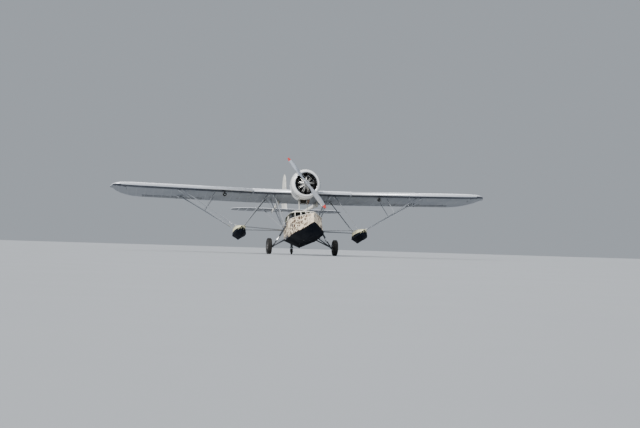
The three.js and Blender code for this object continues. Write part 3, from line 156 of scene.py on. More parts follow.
class Form:
    """A mesh in the making, drawn in one frame of the airframe."""

    def __init__(self, place: Matrix = DATUM) -> None:
        """Starts an empty form.

        Args:
            place: The frame that the form's points are in.
        """
        self.place = place
        self.bm = bmesh.new()

    @classmethod
    def carried(cls, *nodes: str) -> "Form":
        """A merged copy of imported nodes, in the row frame.

        Args:
            nodes: Names of the nodes to copy.

        Returns:
            The copy, with its doubled vertices merged.
        """
        form = cls(Matrix.Identity(4))
        for node in nodes:
            form.bm.from_mesh(frame["nodes"][node].data)
        bmesh.ops.remove_doubles(form.bm, verts=form.bm.verts[:], dist=2e-5)
        for face in form.bm.faces:
            face.material_index = 0
        return form

    def rod(
        self, start: Numbers, end: Numbers, radius: float, tip: float | None = None, sides: int = 12
    ) -> "Form":
        """Adds a round rod.

        Args:
            start: One end.
            end: The other end.
            radius: Radius at the start.
            tip: Radius at the end, if it differs.
            sides: Sides of the section.

        Returns:
            The form.
        """
        first, last = Vector(start), Vector(end)
        along = last - first
        turn = along.to_track_quat("Z", "Y").to_matrix().to_4x4()
        bmesh.ops.create_cone(
            self.bm,
            cap_ends=True,
            segments=sides,
            radius1=radius,
            radius2=radius if tip is None else tip,
            depth=along.length,
            matrix=Matrix.Translation((first + last) / 2) @ turn,
        )
        return self

    def strut(
        self, start: Numbers, end: Numbers, wide: float, thick: float, sides: int = 16
    ) -> "Form":
        """Adds a streamlined bar, wide along the airflow and thin across it.

        Args:
            start: One end.
            end: The other end.
            wide: Width along the airflow.
            thick: Thickness across it.
            sides: Sides of the section.

        Returns:
            The form.
        """
        first, last = Vector(start), Vector(end)
        along = (last - first).normalized()
        flow = Vector(UP) if abs(along.y) > 0.9 else Vector(AFT)
        across = along.cross(flow).normalized()
        broad = across.cross(along)
        turn = Matrix((across * thick, broad * wide, along * (last - first).length)).transposed().to_4x4()
        bmesh.ops.create_cone(
            self.bm,
            cap_ends=True,
            segments=sides,
            radius1=0.5,
            radius2=0.5,
            depth=1.0,
            matrix=Matrix.Translation((first + last) / 2) @ turn,
        )
        return self

    def box(self, low: Numbers, high: Numbers, round_by: float = 0.0, turn: Matrix | None = None) -> "Form":
        """Adds a box between two corners, with its edges rounded.

        Args:
            low: Lowest corner.
            high: Highest corner.
            round_by: Radius of the edges.
            turn: A matrix that turns and moves the finished box.

        Returns:
            The form.
        """
        first, last = Vector(low), Vector(high)
        size = last - first
        made = bmesh.ops.create_cube(
            self.bm,
            size=1.0,
            matrix=Matrix.Translation((first + last) / 2) @ Matrix.Diagonal((*size, 1)),
        )["verts"]
        if round_by > 0:
            edges = list({edge for vert in made for edge in vert.link_edges})
            faces = bmesh.ops.bevel(
                self.bm, geom=edges, offset=round_by, segments=2, profile=0.5, affect="EDGES", material=-1,
                offset_type="OFFSET",
            )["faces"]
            made = list({vert for face in faces for vert in face.verts})
        if turn is not None:
            linked = self.island(made)
            bmesh.ops.transform(self.bm, matrix=turn, verts=linked)
        return self

    @staticmethod
    def island(seeds: Iterable[bmesh.types.BMVert]) -> list[bmesh.types.BMVert]:
        """Every vertex that is joined to the seeds by edges."""
        found = set(seeds)
        edge_of = list(found)
        while edge_of:
            vert = edge_of.pop()
            for edge in vert.link_edges:
                other = edge.other_vert(vert)
                if other not in found:
                    found.add(other)
                    edge_of.append(other)
        return list(found)

    def ball(self, centre: Numbers, radius: float | Numbers, sides: int = 16) -> "Form":
        """Adds a ball or an ellipsoid.

        Args:
            centre: Its centre.
            radius: Its radius, or one radius along each axis.
            sides: Sides round its equator.

        Returns:
            The form.
        """
        sizes = (radius,) * 3 if isinstance(radius, float) else radius
        bmesh.ops.create_uvsphere(
            self.bm,
            u_segments=sides,
            v_segments=max(sides // 2, 6),
            radius=1.0,
            matrix=Matrix.Translation(Vector(centre)) @ Matrix.Diagonal((*sizes, 1)),
        )
        return self

    def lathe(
        self, profile: Profile, origin: Numbers, axis: str = "Y", sides: int = 32,
        place: Matrix | None = None,
    ) -> "Form":
        """Spins a profile round an axis.

        Args:
            profile: Points as (radius, distance along the axis).
            origin: A point of the axis, where the distance is zero.
            axis: "X", "Y" or "Z".
            sides: Steps of the full turn.
            place: A matrix for the spun shape.

        Returns:
            The form.
        """
        centre = Vector(origin)
        along = {"X": Vector(ACROSS), "Y": Vector(AFT), "Z": Vector(UP)}[axis]
        out = Vector(UP) if axis != "Z" else Vector(ACROSS)
        verts = [self.bm.verts.new(centre + out * radius + along * reach) for radius, reach in profile]
        edges = [self.bm.edges.new(pair) for pair in zip(verts, verts[1:])]
        bmesh.ops.spin(
            self.bm,
            geom=verts + edges,
            cent=centre,
            axis=along,
            dvec=(0, 0, 0),
            angle=math.tau,
            steps=sides,
            use_merge=True,
            use_duplicate=False,
        )
        linked = self.island(verts)
        if place is not None:
            bmesh.ops.transform(self.bm, matrix=place, verts=linked)
        bmesh.ops.remove_doubles(self.bm, verts=linked, dist=1e-6)
        return self

    def ring(
        self, centre: Numbers, radius: float, wire: float, axis: str = "Y", sides: int = 32,
        wire_sides: int = 8,
    ) -> "Form":
        """Adds a torus.

        Args:
            centre: Its centre.
            radius: Radius of its middle line.
            wire: Radius of its section.
            axis: The axis that it turns round.
            sides: Steps of the full turn.
            wire_sides: Sides of its section.

        Returns:
            The form.
        """
        loop = [
            (radius + wire * math.cos(math.tau * i / wire_sides), wire * math.sin(math.tau * i / wire_sides))
            for i in range(wire_sides + 1)
        ]
        return self.lathe(loop, centre, axis, sides)

    def loft(self, rings: Sequence[Rows], caps: bool = True) -> "Form":
        """Carries a closed outline through a row of rings by extrusion.

        Args:
            rings: Outlines with equal point counts.
            caps: Whether both ends are closed with a face.

        Returns:
            The form.
        """
        loop = [self.bm.verts.new(Vector(point)) for point in rings[0]]
        edges = [self.bm.edges.new((loop[i], loop[(i + 1) % len(loop)])) for i in range(len(loop))]
        if caps:
            self.bm.faces.new(loop)
        for ring in rings[1:]:
            made = bmesh.ops.extrude_edge_only(self.bm, edges=edges)["geom"]
            fresh = {item for item in made if isinstance(item, bmesh.types.BMVert)}
            following = []
            for vert, point in zip(loop, ring):
                mate = next(e.other_vert(vert) for e in vert.link_edges if e.other_vert(vert) in fresh)
                mate.co = Vector(point)
                following.append(mate)
            loop = following
            known = set(loop)
            edges = [
                item for item in made if isinstance(item, bmesh.types.BMEdge) and set(item.verts) <= known
            ]
        if caps:
            self.bm.faces.new(list(reversed(loop)))
        return self

    def tube(self, points: Rows, radius: float, sides: int = 8, closed: bool = False) -> "Form":
        """Adds a round tube along a line of points.

        Args:
            points: The line.
            radius: The tube's radius.
            sides: Sides of its section.
            closed: Whether the line returns to its first point.

        Returns:
            The form.
        """
        line = [Vector(point) for point in points]
        if closed:
            line = [*line, line[0]]
        side = None
        rings = []
        for i, point in enumerate(line):
            if closed and i in (0, len(line) - 1):
                along = (line[1] - line[-2]).normalized()
            else:
                along = (line[min(i + 1, len(line) - 1)] - line[max(i - 1, 0)]).normalized()
            if side is None:
                seed = Vector(UP) if abs(along.z) < 0.9 else Vector(ACROSS)
                side = along.cross(seed).normalized()
            else:
                side = (side - along * side.dot(along)).normalized()
            other = along.cross(side)
            rings.append([
                point + (
                    side * math.cos(math.tau * k / sides) + other * math.sin(math.tau * k / sides)
                ) * radius
                for k in range(sides)
            ])
        return self.loft(rings, caps=not closed)

    def strip(self, line: Sequence[tuple[Numbers, Numbers]], wide: float, thick: float) -> "Form":
        """Adds a flat strip that lies on a surface.

        Args:
            line: Points of the surface, each with the direction that the strip faces.
            wide: The strip's width.
            thick: How far it stands proud.

        Returns:
            The form.
        """
        points = [Vector(point) for point, _ in line]
        rings = []
        for i, (_, facing) in enumerate(line):
            along = points[min(i + 1, len(points) - 1)] - points[max(i - 1, 0)]
            up = Vector(facing).normalized()
            side = along.cross(up).normalized() * wide / 2
            sunk, proud = points[i] - up * thick, points[i] + up * thick
            rings.append([sunk - side, sunk + side, proud + side * 0.86, proud - side * 0.86])
        return self.loft(rings)

    def bolts(self, spots: Iterable[Numbers], out: Numbers, size: float = 0.012) -> "Form":
        """Adds a hexagon head at each spot, standing out along one direction."""
        along = Vector(out).normalized() * size * 0.7
        for spot in spots:
            self.rod(Vector(spot) - along, Vector(spot) + along, size * 0.6, sides=6)
        return self

    def repeated(self, count: int, centre: Numbers, axis: Numbers) -> "Form":
        """Repeats the whole form round an axis, the given number of times in a full turn."""
        bmesh.ops.spin(
            self.bm, geom=self.bm.verts[:] + self.bm.edges[:] + self.bm.faces[:], cent=Vector(centre),
            axis=Vector(axis), dvec=(0, 0, 0), angle=math.tau * (count - 1) / count, steps=count - 1,
            use_merge=False, use_duplicate=True,
        )
        return self

    def paint(self, rule: Rule) -> "Form":
        """Gives each face a material by its place.

        Args:
            rule: Takes a face's centre and normal in this form's datum frame, returns a slot index.

        Returns:
            The form.
        """
        into = DATUM.inverted() @ self.place
        turn = into.to_3x3()
        self.bm.normal_update()
        for face in self.bm.faces:
            face.material_index = rule(into @ face.calc_center_median(), turn @ face.normal)
        return self

    def finish(
        self,
        name: str,
        slot: str,
        *finishes: "Finish",
        body: str = "airframe",
        crease: float = 32.0,
        round_by: float = 0.0,
        subdivide: int = 0,
        replaces: Sequence[str] = (),
        carried: bool = False,
    ) -> bpy.types.Object:
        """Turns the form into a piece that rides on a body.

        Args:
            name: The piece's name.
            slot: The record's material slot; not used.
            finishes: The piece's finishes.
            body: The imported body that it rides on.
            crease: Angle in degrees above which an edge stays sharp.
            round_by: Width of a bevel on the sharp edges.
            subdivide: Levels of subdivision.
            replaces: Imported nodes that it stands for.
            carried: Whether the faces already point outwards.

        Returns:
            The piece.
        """
        bm = self.bm
        bm.transform(self.place)
        if not carried:
            bmesh.ops.remove_doubles(bm, verts=bm.verts[:], dist=1e-6)
            bmesh.ops.recalc_face_normals(bm, faces=bm.faces[:])
        mesh = bpy.data.meshes.new(name)
        bm.to_mesh(mesh)
        bm.free()
        mesh.shade_smooth()
        if subdivide == 0:
            mesh.set_sharp_from_angle(angle=math.radians(crease))
        for finish in finishes:
            mesh.materials.append(finish.material)
        piece = bpy.data.objects.new(name, mesh)
        bpy.context.scene.collection.objects.link(piece)
        if round_by > 0:
            bevel = piece.modifiers.new("rounded", "BEVEL")
            bevel.width = round_by
            bevel.segments = 2
            bevel.limit_method = "ANGLE"
            bevel.angle_limit = math.radians(crease)
        if subdivide:
            surface = piece.modifiers.new("smoothed", "SUBSURF")
            surface.levels = surface.render_levels = subdivide
        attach(piece, body)
        if replaces:
            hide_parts(*replaces)
        LOG.info("%s rides on %s: %d faces", name, body, len(mesh.polygons))
        return piece


def circle(centre: Numbers, radius: float, axis: str, count: int) -> list[Vector]:
    """Points round a circle.

    Args:
        centre: Its centre.
        radius: Its radius.
        axis: The axis that it turns round.
        count: How many points.

    Returns:
        The points, in order.
    """
    first, second = {"X": (UP, AFT), "Y": (UP, ACROSS), "Z": (ACROSS, AFT)}[axis]
    return [
        Vector(centre)
        + Vector(first) * radius * math.cos(math.tau * i / count)
        + Vector(second) * radius * math.sin(math.tau * i / count)
        for i in range(count)
    ]


def spread(first: float, last: float, count: int) -> list[float]:
    """Even steps from the first value to the last, both included."""
    return [first + (last - first) * i / (count - 1) for i in range(count)]


def towards(start: Numbers, end: Numbers, share: float) -> Vector:
    """The point at a share of the way between two points."""
    return Vector(start).lerp(Vector(end), share)


def cover(form: Form, centre: Numbers, facing: Numbers, radius: float, screws: int = 8) -> None:
    """Adds a round inspection cover with a bevelled edge and its screws.

    Args:
        form: The form that takes it.
        centre: Its centre on the surface.
        facing: The way that it faces.
        radius: Its radius.
        screws: How many screws hold it.
    """
    out = Vector(facing).normalized()
    side = out.orthogonal().normalized()
    middle = Vector(centre)
    form.rod(middle - out * 0.008, middle + out * 0.005, radius, radius * 0.93, sides=28)
    for i in range(screws):
        angle = math.tau * i / screws
        spot = middle + (side * math.cos(angle) + out.cross(side) * math.sin(angle)) * radius * 0.76
        form.rod(spot + out * 0.003, spot + out * 0.0085, 0.0055, 0.004, sides=6)


def cleat(form: Form, foot: Numbers, reach: float = 0.075) -> None:
    """Adds a two-horned cleat that stands on a deck."""
    base = Vector(foot)
    form.box(base + Vector((-0.02, -reach * 0.7, -0.02)), base + Vector((0.02, reach * 0.7, 0.006)), 0.003)
    for sign in (-1, 1):
        form.rod(base, base + Vector((0, sign * 0.03, 0.038)), 0.010, 0.008)
        form.rod(base + Vector((0, 0, 0.040)), base + Vector((0, sign * reach, 0.046)), 0.011, 0.006)


@cache
def tree_of(node: str) -> BVHTree:
    """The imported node's faces in the row frame, ready for rays."""
    bm = bmesh.new()
    bm.from_mesh(frame["nodes"][node].data)
    tree = BVHTree.FromBMesh(bm)
    bm.free()
    return tree


def landing(
    node: str, start: Numbers, aim: Numbers, place: Matrix = DATUM
) -> tuple[Vector, Vector] | None:
    """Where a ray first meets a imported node.

    Args:
        node: The node.
        start: Where the ray starts, in the given frame.
        aim: Its direction.
        place: The frame that the points are in.

    Returns:
        The point met and the way the surface faces there, or None when the ray misses.
    """
    turn = place.to_3x3()
    point, normal, _, _ = tree_of(node).ray_cast(place @ Vector(start), turn @ Vector(aim).normalized())
    if point is None:
        return None
    facing = turn.inverted() @ normal
    return place.inverted() @ point, facing if facing.dot(Vector(aim)) < 0 else -facing


def tape(
    form: Form, node: str, starts: Rows, aim: Numbers, wide: float, thick: float
) -> None:
    """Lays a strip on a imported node, under a line of points that look at it.

    Args:
        form: The form that takes it, whose frame the points are in.
        node: The node.
        starts: The points.
        aim: The direction from the points to the node.
        wide: The strip's width.
        thick: How far it stands proud.
    """
    met = [found for start in starts if (found := landing(node, start, aim, form.place)) is not None]
    if len(met) > 1:
        form.strip(met, wide, thick)


class Graph:
    """Short calls for building one node tree."""

    def __init__(self, tree: bpy.types.NodeTree) -> None:
        """Takes the tree that the nodes go into."""
        self.tree = tree

    def add(
        self, kind: str, inputs: Mapping[str | int, Any] | None = None, **settings: Any
    ) -> bpy.types.Node:
        """Adds a node, sets its options and fills its inputs with values or links.

        Args:
            kind: The node's type without its ShaderNode prefix.
            inputs: Values or output sockets by input name or index.
            settings: The node's own options.

        Returns:
            The node.
        """
        node = self.tree.nodes.new("ShaderNode" + kind)
        for key, value in settings.items():
            setattr(node, key, value)
        for key, value in (inputs or {}).items():
            if isinstance(value, Socket):
                self.link(value, node.inputs[key])
            else:
                node.inputs[key].default_value = value
        return node

    def math(self, operation: str, *values: Any, clamp: bool = False) -> Socket:
        """The result of a Math node on up to three values."""
        return self.add("Math", dict(enumerate(values)), operation=operation, use_clamp=clamp).outputs[0]

    def times(self, first: Any, second: Any) -> Socket:
        """The product of two values."""
        return self.math("MULTIPLY", first, second)

    def plus(self, first: Any, second: Any) -> Socket:
        """The sum of two values."""
        return self.math("ADD", first, second)

    def minus(self, first: Any, second: Any, clamp: bool = False) -> Socket:
        """The difference of two values."""
        return self.math("SUBTRACT", first, second, clamp=clamp)

    def times_plus(self, value: Any, factor: Any, rest: Any, clamp: bool = False) -> Socket:
        """A value times a factor, plus a rest."""
        return self.math("MULTIPLY_ADD", value, factor, rest, clamp=clamp)

    def link(self, source: Socket, target: Socket) -> None:
        """Links an output to an input."""
        self.tree.links.new(source, target)

    def mix(self, share: Any, first: Any, second: Any, blend: str = "MIX") -> Socket:
        """A mix of two colours."""
        inputs = {0: share, 6: first, 7: second}
        return self.add("Mix", inputs, data_type="RGBA", blend_type=blend).outputs[2]

    def between(self, value: Any, low: float, high: float, start: float = 0.0, end: float = 1.0) -> Socket:
        """A smooth step of a value from low to high, from start to end."""
        inputs = {"Value": value, "From Min": low, "From Max": high, "To Min": start, "To Max": end}
        return self.add("MapRange", inputs, interpolation_type="SMOOTHSTEP").outputs[0]

    def noise(self, vector: Any, scale: float, detail: float = 4.0, roughness: float = 0.5) -> Socket:
        """The value of a noise texture."""
        inputs = {"Vector": vector, "Scale": scale, "Detail": detail, "Roughness": roughness}
        return self.add("TexNoise", inputs).outputs[0]

    def stretched(self, vector: Any, scale: Point) -> Socket:
        """A vector scaled along each axis."""
        return self.add("VectorMath", {0: vector, 1: scale}, operation="MULTIPLY").outputs[0]

    def split(self, vector: Any) -> Sequence[Socket]:
        """The three parts of a vector."""
        return self.add("SeparateXYZ", {0: vector}).outputs

    def place(self) -> Socket:
        """The point in the airframe's datum frame, from Object coordinates."""
        into = DATUM.inverted()
        spot = self.add("TexCoord").outputs["Object"]
        mapping = self.add("Mapping", {"Vector": spot}, vector_type="POINT")
        mapping.inputs["Rotation"].default_value = into.to_euler()
        mapping.inputs["Location"].default_value = into.translation
        return mapping.outputs[0]


class Effect:
    """A shared effect as a node group with named inputs and outputs."""

    made: dict[str, bpy.types.NodeTree] = {}

    @classmethod
    def start(
        cls, name: str, inputs: Mapping[str, float | None], outputs: Sequence[str]
    ) -> tuple[Graph, Any, Any]:
        """Starts a group.

        Args:
            name: The group's name.
            inputs: Float inputs with their defaults; None makes a vector input.
            outputs: Names of the float outputs.

        Returns:
            The graph, its input sockets and its output node's sockets.
        """
        tree = bpy.data.node_groups.new(name, "ShaderNodeTree")
        for key, value in inputs.items():
            kind = "NodeSocketVector" if value is None else "NodeSocketFloat"
            socket = tree.interface.new_socket(name=key, in_out="INPUT", socket_type=kind)
            if value is not None:
                socket.default_value = value
        for key in outputs:
            tree.interface.new_socket(name=key, in_out="OUTPUT", socket_type="NodeSocketFloat")
        cls.made[name] = tree
        return Graph(tree), tree.nodes.new("NodeGroupInput").outputs, tree.nodes.new("NodeGroupOutput").inputs

    @classmethod
    def weathering(cls) -> bpy.types.NodeTree:
        """Faded patches, streaks along the airflow and fine speckles of dust."""
        if "weathering" not in cls.made:
            graph, given, out = cls.start(
                "weathering", {"Vector": None, "Patches": 2.2, "Streaks": 9.0}, ("Fade", "Streak", "Speck")
            )
            patches = graph.add(
                "TexNoise", {"Vector": given["Vector"], "Scale": given["Patches"], "Detail": 5.0}
            )
            graph.link(graph.between(patches.outputs[0], 0.35, 0.7), out["Fade"])
            drawn = graph.stretched(given["Vector"], (1.0, 0.16, 1.0))
            lines = graph.add("TexNoise", {"Vector": drawn, "Scale": given["Streaks"], "Detail": 3.0})
            graph.link(graph.between(lines.outputs[0], 0.52, 0.74), out["Streak"])
            specks = graph.noise(given["Vector"], 160.0, 2.0)
            graph.link(graph.between(specks, 0.58, 0.72), out["Speck"])
        return cls.made["weathering"]

    @classmethod
    def seams(cls) -> bpy.types.NodeTree:
        """Riveted seams every so far along one axis, as a height and a mask."""
        if "seams" not in cls.made:
            graph, given, out = cls.start(
                "seams", {"Along": 0.0, "Across": 0.0, "Bay": 0.55, "Pitch": 0.04, "Rivet": 0.0045},
                ("Height", "Line")
            )
            bay = graph.math("DIVIDE", given["Along"], given["Bay"])
            from_seam = graph.times(graph.math("PINGPONG", bay, 0.5), given["Bay"])
            line = graph.between(from_seam, 0.0, 0.0025, 1.0, 0.0)
            row = graph.math("ABSOLUTE", graph.minus(from_seam, 0.014))
            along_row = graph.math("DIVIDE", given["Across"], given["Pitch"])
            from_head = graph.times(graph.math("PINGPONG", along_row, 0.5), given["Pitch"])
            far = graph.math(
                "SQRT", graph.plus(graph.math("POWER", row, 2.0), graph.math("POWER", from_head, 2.0))
            )
            share = graph.math("DIVIDE", far, given["Rivet"])
            head = graph.between(share, 0.35, 1.0, 1.0, 0.0)
            graph.link(graph.minus(head, graph.times(line, 1.6)), out["Height"])
            graph.link(line, out["Line"])
        return cls.made["seams"]

    @classmethod
    def ribs(cls) -> bpy.types.NodeTree:
        """Doped fabric over ribs: it sags between them and has a tape over each."""
        if "ribs" not in cls.made:
            graph, given, out = cls.start(
                "ribs", {"Along": 0.0, "Vector": None, "Bay": 0.36}, ("Height", "Tape")
            )
            bay = graph.math("PINGPONG", graph.math("DIVIDE", given["Along"], given["Bay"]), 0.5)
            sag = graph.math("POWER", graph.times(bay, 2.0), 0.55)
            from_rib = graph.times(bay, given["Bay"])
            tape = graph.between(from_rib, 0.019, 0.0215, 1.0, 0.0)
            stitch = graph.between(
                graph.math("PINGPONG", graph.times(graph.split(given["Vector"])[1], 14.0), 0.5), 0.40, 0.48
            )
            knot = graph.times(stitch, graph.between(from_rib, 0.003, 0.006, 1.0, 0.0))
            weave = graph.noise(graph.stretched(given["Vector"], (900.0, 900.0, 40.0)), 1.0, 1.0)
            low = graph.times(sag, -1.0)
            height = graph.plus(low, graph.times(tape, 0.10))
            height = graph.plus(height, graph.times(knot, 0.22))
            graph.link(graph.times_plus(weave, 0.03, height), out["Height"])
            graph.link(tape, out["Tape"])
        return cls.made["ribs"]

    @classmethod
    def wear(cls) -> bpy.types.NodeTree:
        """Chips where paint has come off, in clusters."""
        if "wear" not in cls.made:
            graph, given, out = cls.start("wear", {"Vector": None, "Scale": 30.0, "Amount": 0.3}, ("Mask",))
            grains = graph.add(
                "TexNoise",
                {"Vector": given["Vector"], "Scale": given["Scale"], "Detail": 6.0, "Roughness": 0.7},
            )
            clusters = graph.noise(given["Vector"], 2.6, 2.0)
            together = graph.times_plus(clusters, 0.55, grains.outputs[0])
            level = graph.minus(1.12, graph.times(given["Amount"], 0.3))
            mask = graph.math("GREATER_THAN", together, level)
            graph.link(mask, out["Mask"])
        return cls.made["wear"]


@dataclass(frozen=True)
class Surface:
    """What the shader of one finish gets: colours, gloss and relief."""

    graph: Graph
    spot: Socket
    shader: bpy.types.Node

    @classmethod
    def start(cls, name: str, **constants: Any) -> "Surface":
        """Starts a material with a principled shader.

        Args:
            name: The material's name.
            constants: Values for the shader's own sockets, with underscores for spaces.

        Returns:
            The surface to finish.
        """
        material = bpy.data.materials.new(name)
        material.use_nodes = True
        material.node_tree.nodes.clear()
        graph = Graph(material.node_tree)
        shader = graph.add("BsdfPrincipled")
        for key, value in constants.items():
            shader.inputs[key.replace("_", " ")].default_value = value
        output = graph.add("OutputMaterial", {"Surface": shader.outputs[0]})
        output.is_active_output = True
        return cls(graph, graph.place(), shader)

    def group(self, tree: bpy.types.NodeTree, inputs: Mapping[str, Any]) -> Any:
        """The outputs of a shared effect with this material's own values."""
        return self.graph.add("Group", inputs, node_tree=tree).outputs

    def feed(self, socket: str, source: Socket) -> None:
        """Links a value to one of the shader's sockets."""
        self.graph.link(source, self.shader.inputs[socket])

    def relief(self, height: Socket, depth: float, strength: float = 1.0, under: Any = None) -> Any:
        """Feeds a height of the given depth in metres to the shader's normal."""
        inputs = {"Height": height, "Distance": depth, "Strength": strength}
        if under is not None:
            inputs["Normal"] = under
        bump = self.graph.add("Bump", inputs).outputs[0]
        self.feed("Normal", bump)
        return bump

    @property
    def material(self) -> bpy.types.Material:
        """The finished material."""
        return next(m for m in bpy.data.materials if m.node_tree == self.graph.tree)


# What weather makes of paint
BLEACHED: Colour = (0.80, 0.79, 0.76, 1.0)
STREAKED: Colour = (0.62, 0.60, 0.56, 1.0)
DUSTED: Colour = (0.5, 0.48, 0.44, 1.0)
SEAM_DIRT: Colour = (0.25, 0.25, 0.25, 1.0)


@dataclass(frozen=True)
class Enamel:
    """Brushed or sprayed paint with faded patches, streaks, dust and chips."""

    name: str
    colour: Colour
    roughness: float = 0.42
    coat: float = 0.15
    grime: float = 0.35
    under: Colour = (0.32, 0.33, 0.34, 1.0)
    chips: float = 0.2
    metallic: float = 0.0
    seams: float = 0.0
    bay: float = 0.62
    shine: float = 0.45
    seam_relief: float = 0.0016
    plain_relief: float = 0.0003

    def coloured(self, surface: Surface) -> Any:
        """The paint's own colour over the surface."""
        return self.colour

    def build(self) -> bpy.types.Material:
        """Builds the paint.

        Returns:
            The material.
        """
        surface = Surface.start(
            self.name, Coat_Weight=self.coat, Coat_Roughness=0.12, Specular_IOR_Level=self.shine
        )
        graph, spot = surface.graph, surface.spot
        weather = surface.group(Effect.weathering(), {"Vector": spot})
        wear = surface.group(Effect.wear(), {"Vector": spot, "Amount": self.chips})
        base = self.coloured(surface)
        faded = graph.mix(graph.times(weather["Fade"], 0.20), base, BLEACHED, "MULTIPLY")
        dust = graph.times(weather["Streak"], self.grime)
        dirty = graph.mix(dust, faded, STREAKED, "MULTIPLY")
        speckled = graph.mix(graph.times(weather["Speck"], self.grime * 0.3), dirty, DUSTED)
        height = graph.noise(spot, 240.0, 2.0)
        if self.seams > 0:
            x, y, z = graph.split(spot)
            across = graph.plus(x, z)
            joints = surface.group(Effect.seams(), {"Along": y, "Across": across, "Bay": self.bay})
            speckled = graph.mix(graph.times(joints["Line"], 0.6), speckled, SEAM_DIRT, "MULTIPLY")
            height = graph.times_plus(joints["Height"], self.seams, graph.times(height, 0.15))
        chipped = graph.mix(wear["Mask"], speckled, self.under)
        surface.feed("Base Color", chipped)
        gloss = graph.times_plus(weather["Fade"], 0.14, self.roughness)
        surface.feed("Roughness", graph.times_plus(wear["Mask"], 0.12, gloss, clamp=True))
        surface.feed("Metallic", graph.times_plus(wear["Mask"], 0.3, self.metallic, clamp=True))
        surface.relief(height, self.seam_relief if self.seams > 0 else self.plain_relief)
        return surface.material


@dataclass(frozen=True)
class AnimalPrint(Enamel):
    """Cream paint with brown blotches in a layout of its own, paler towards the bow."""

    cell: float = 5.0
    blotch: Colour = (0.060, 0.032, 0.020, 1.0)
    light_blotch: Colour = (0.105, 0.058, 0.036, 1.0)
    bow_fade: tuple[float, float] = (0.0, 0.65)

    def coloured(self, surface: Surface) -> Any:
        """Blotches between cream bands, drawn with a distorted cell pattern."""
        graph, spot = surface.graph, surface.spot
        bent = graph.add("TexNoise", {"Vector": spot, "Scale": 4.5, "Detail": 3.0})
        shifted = graph.add(
            "VectorMath", {0: bent.outputs["Color"], 1: (0.16, 0.16, 0.16)}, operation="MULTIPLY"
        )
        place = graph.add("VectorMath", {0: spot, 1: shifted.outputs[0]}, operation="ADD").outputs[0]
        place = graph.stretched(place, (1.0, 0.72, 1.35))
        edge = graph.add("TexVoronoi", {"Vector": place, "Scale": self.cell}, feature="DISTANCE_TO_EDGE")
        cells = graph.add("TexVoronoi", {"Vector": place, "Scale": self.cell}, feature="F1")
        own = graph.split(cells.outputs["Color"])[0]
        band = graph.times_plus(graph.noise(spot, 16.0, 3.0), 0.12, graph.times(own, 0.05))
        patch = graph.between(graph.minus(edge.outputs["Distance"], band), 0.006, 0.020)
        ring = graph.between(graph.minus(edge.outputs["Distance"], band), 0.12, 0.20)
        brown = graph.mix(graph.times(ring, own), self.blotch, self.light_blotch)
        y = graph.split(spot)[1]
        fade = graph.between(y, self.bow_fade[0], self.bow_fade[1], 0.28, 1.0)
        skipped = graph.between(own, 0.05, 0.09)
        strength = graph.times(graph.times(patch, fade), skipped)
        return graph.mix(strength, self.colour, brown)


@dataclass(frozen=True)
class DopedFabric:
    """Aluminium dope on fabric over ribs."""

    name: str
    colour: Colour = srgb(206, 211, 219)
    bay: float = 0.36
    depth: float = 0.007

    def build(self) -> bpy.types.Material:
        """Builds the fabric.

        Returns:
            The material.
        """
        surface = Surface.start(self.name, Specular_IOR_Level=0.5, Metallic=0.25)
        graph, spot = surface.graph, surface.spot
        weather = surface.group(Effect.weathering(), {"Vector": spot, "Patches": 1.3, "Streaks": 6.0})
        x = graph.split(spot)[0]
        ribs = surface.group(Effect.ribs(), {"Along": x, "Vector": spot, "Bay": self.bay})
        faded = graph.mix(graph.times(weather["Fade"], 0.16), self.colour, (0.45, 0.47, 0.50, 1.0))
        taped = graph.mix(graph.times(ribs["Tape"], 0.22), faded, (0.42, 0.44, 0.47, 1.0))
        oily = graph.mix(graph.times(weather["Streak"], 0.20), taped, (0.30, 0.28, 0.25, 1.0))
        surface.feed("Base Color", oily)
        surface.feed("Roughness", graph.times_plus(weather["Fade"], 0.12, 0.40))
        surface.relief(ribs["Height"], self.depth)
        return surface.material


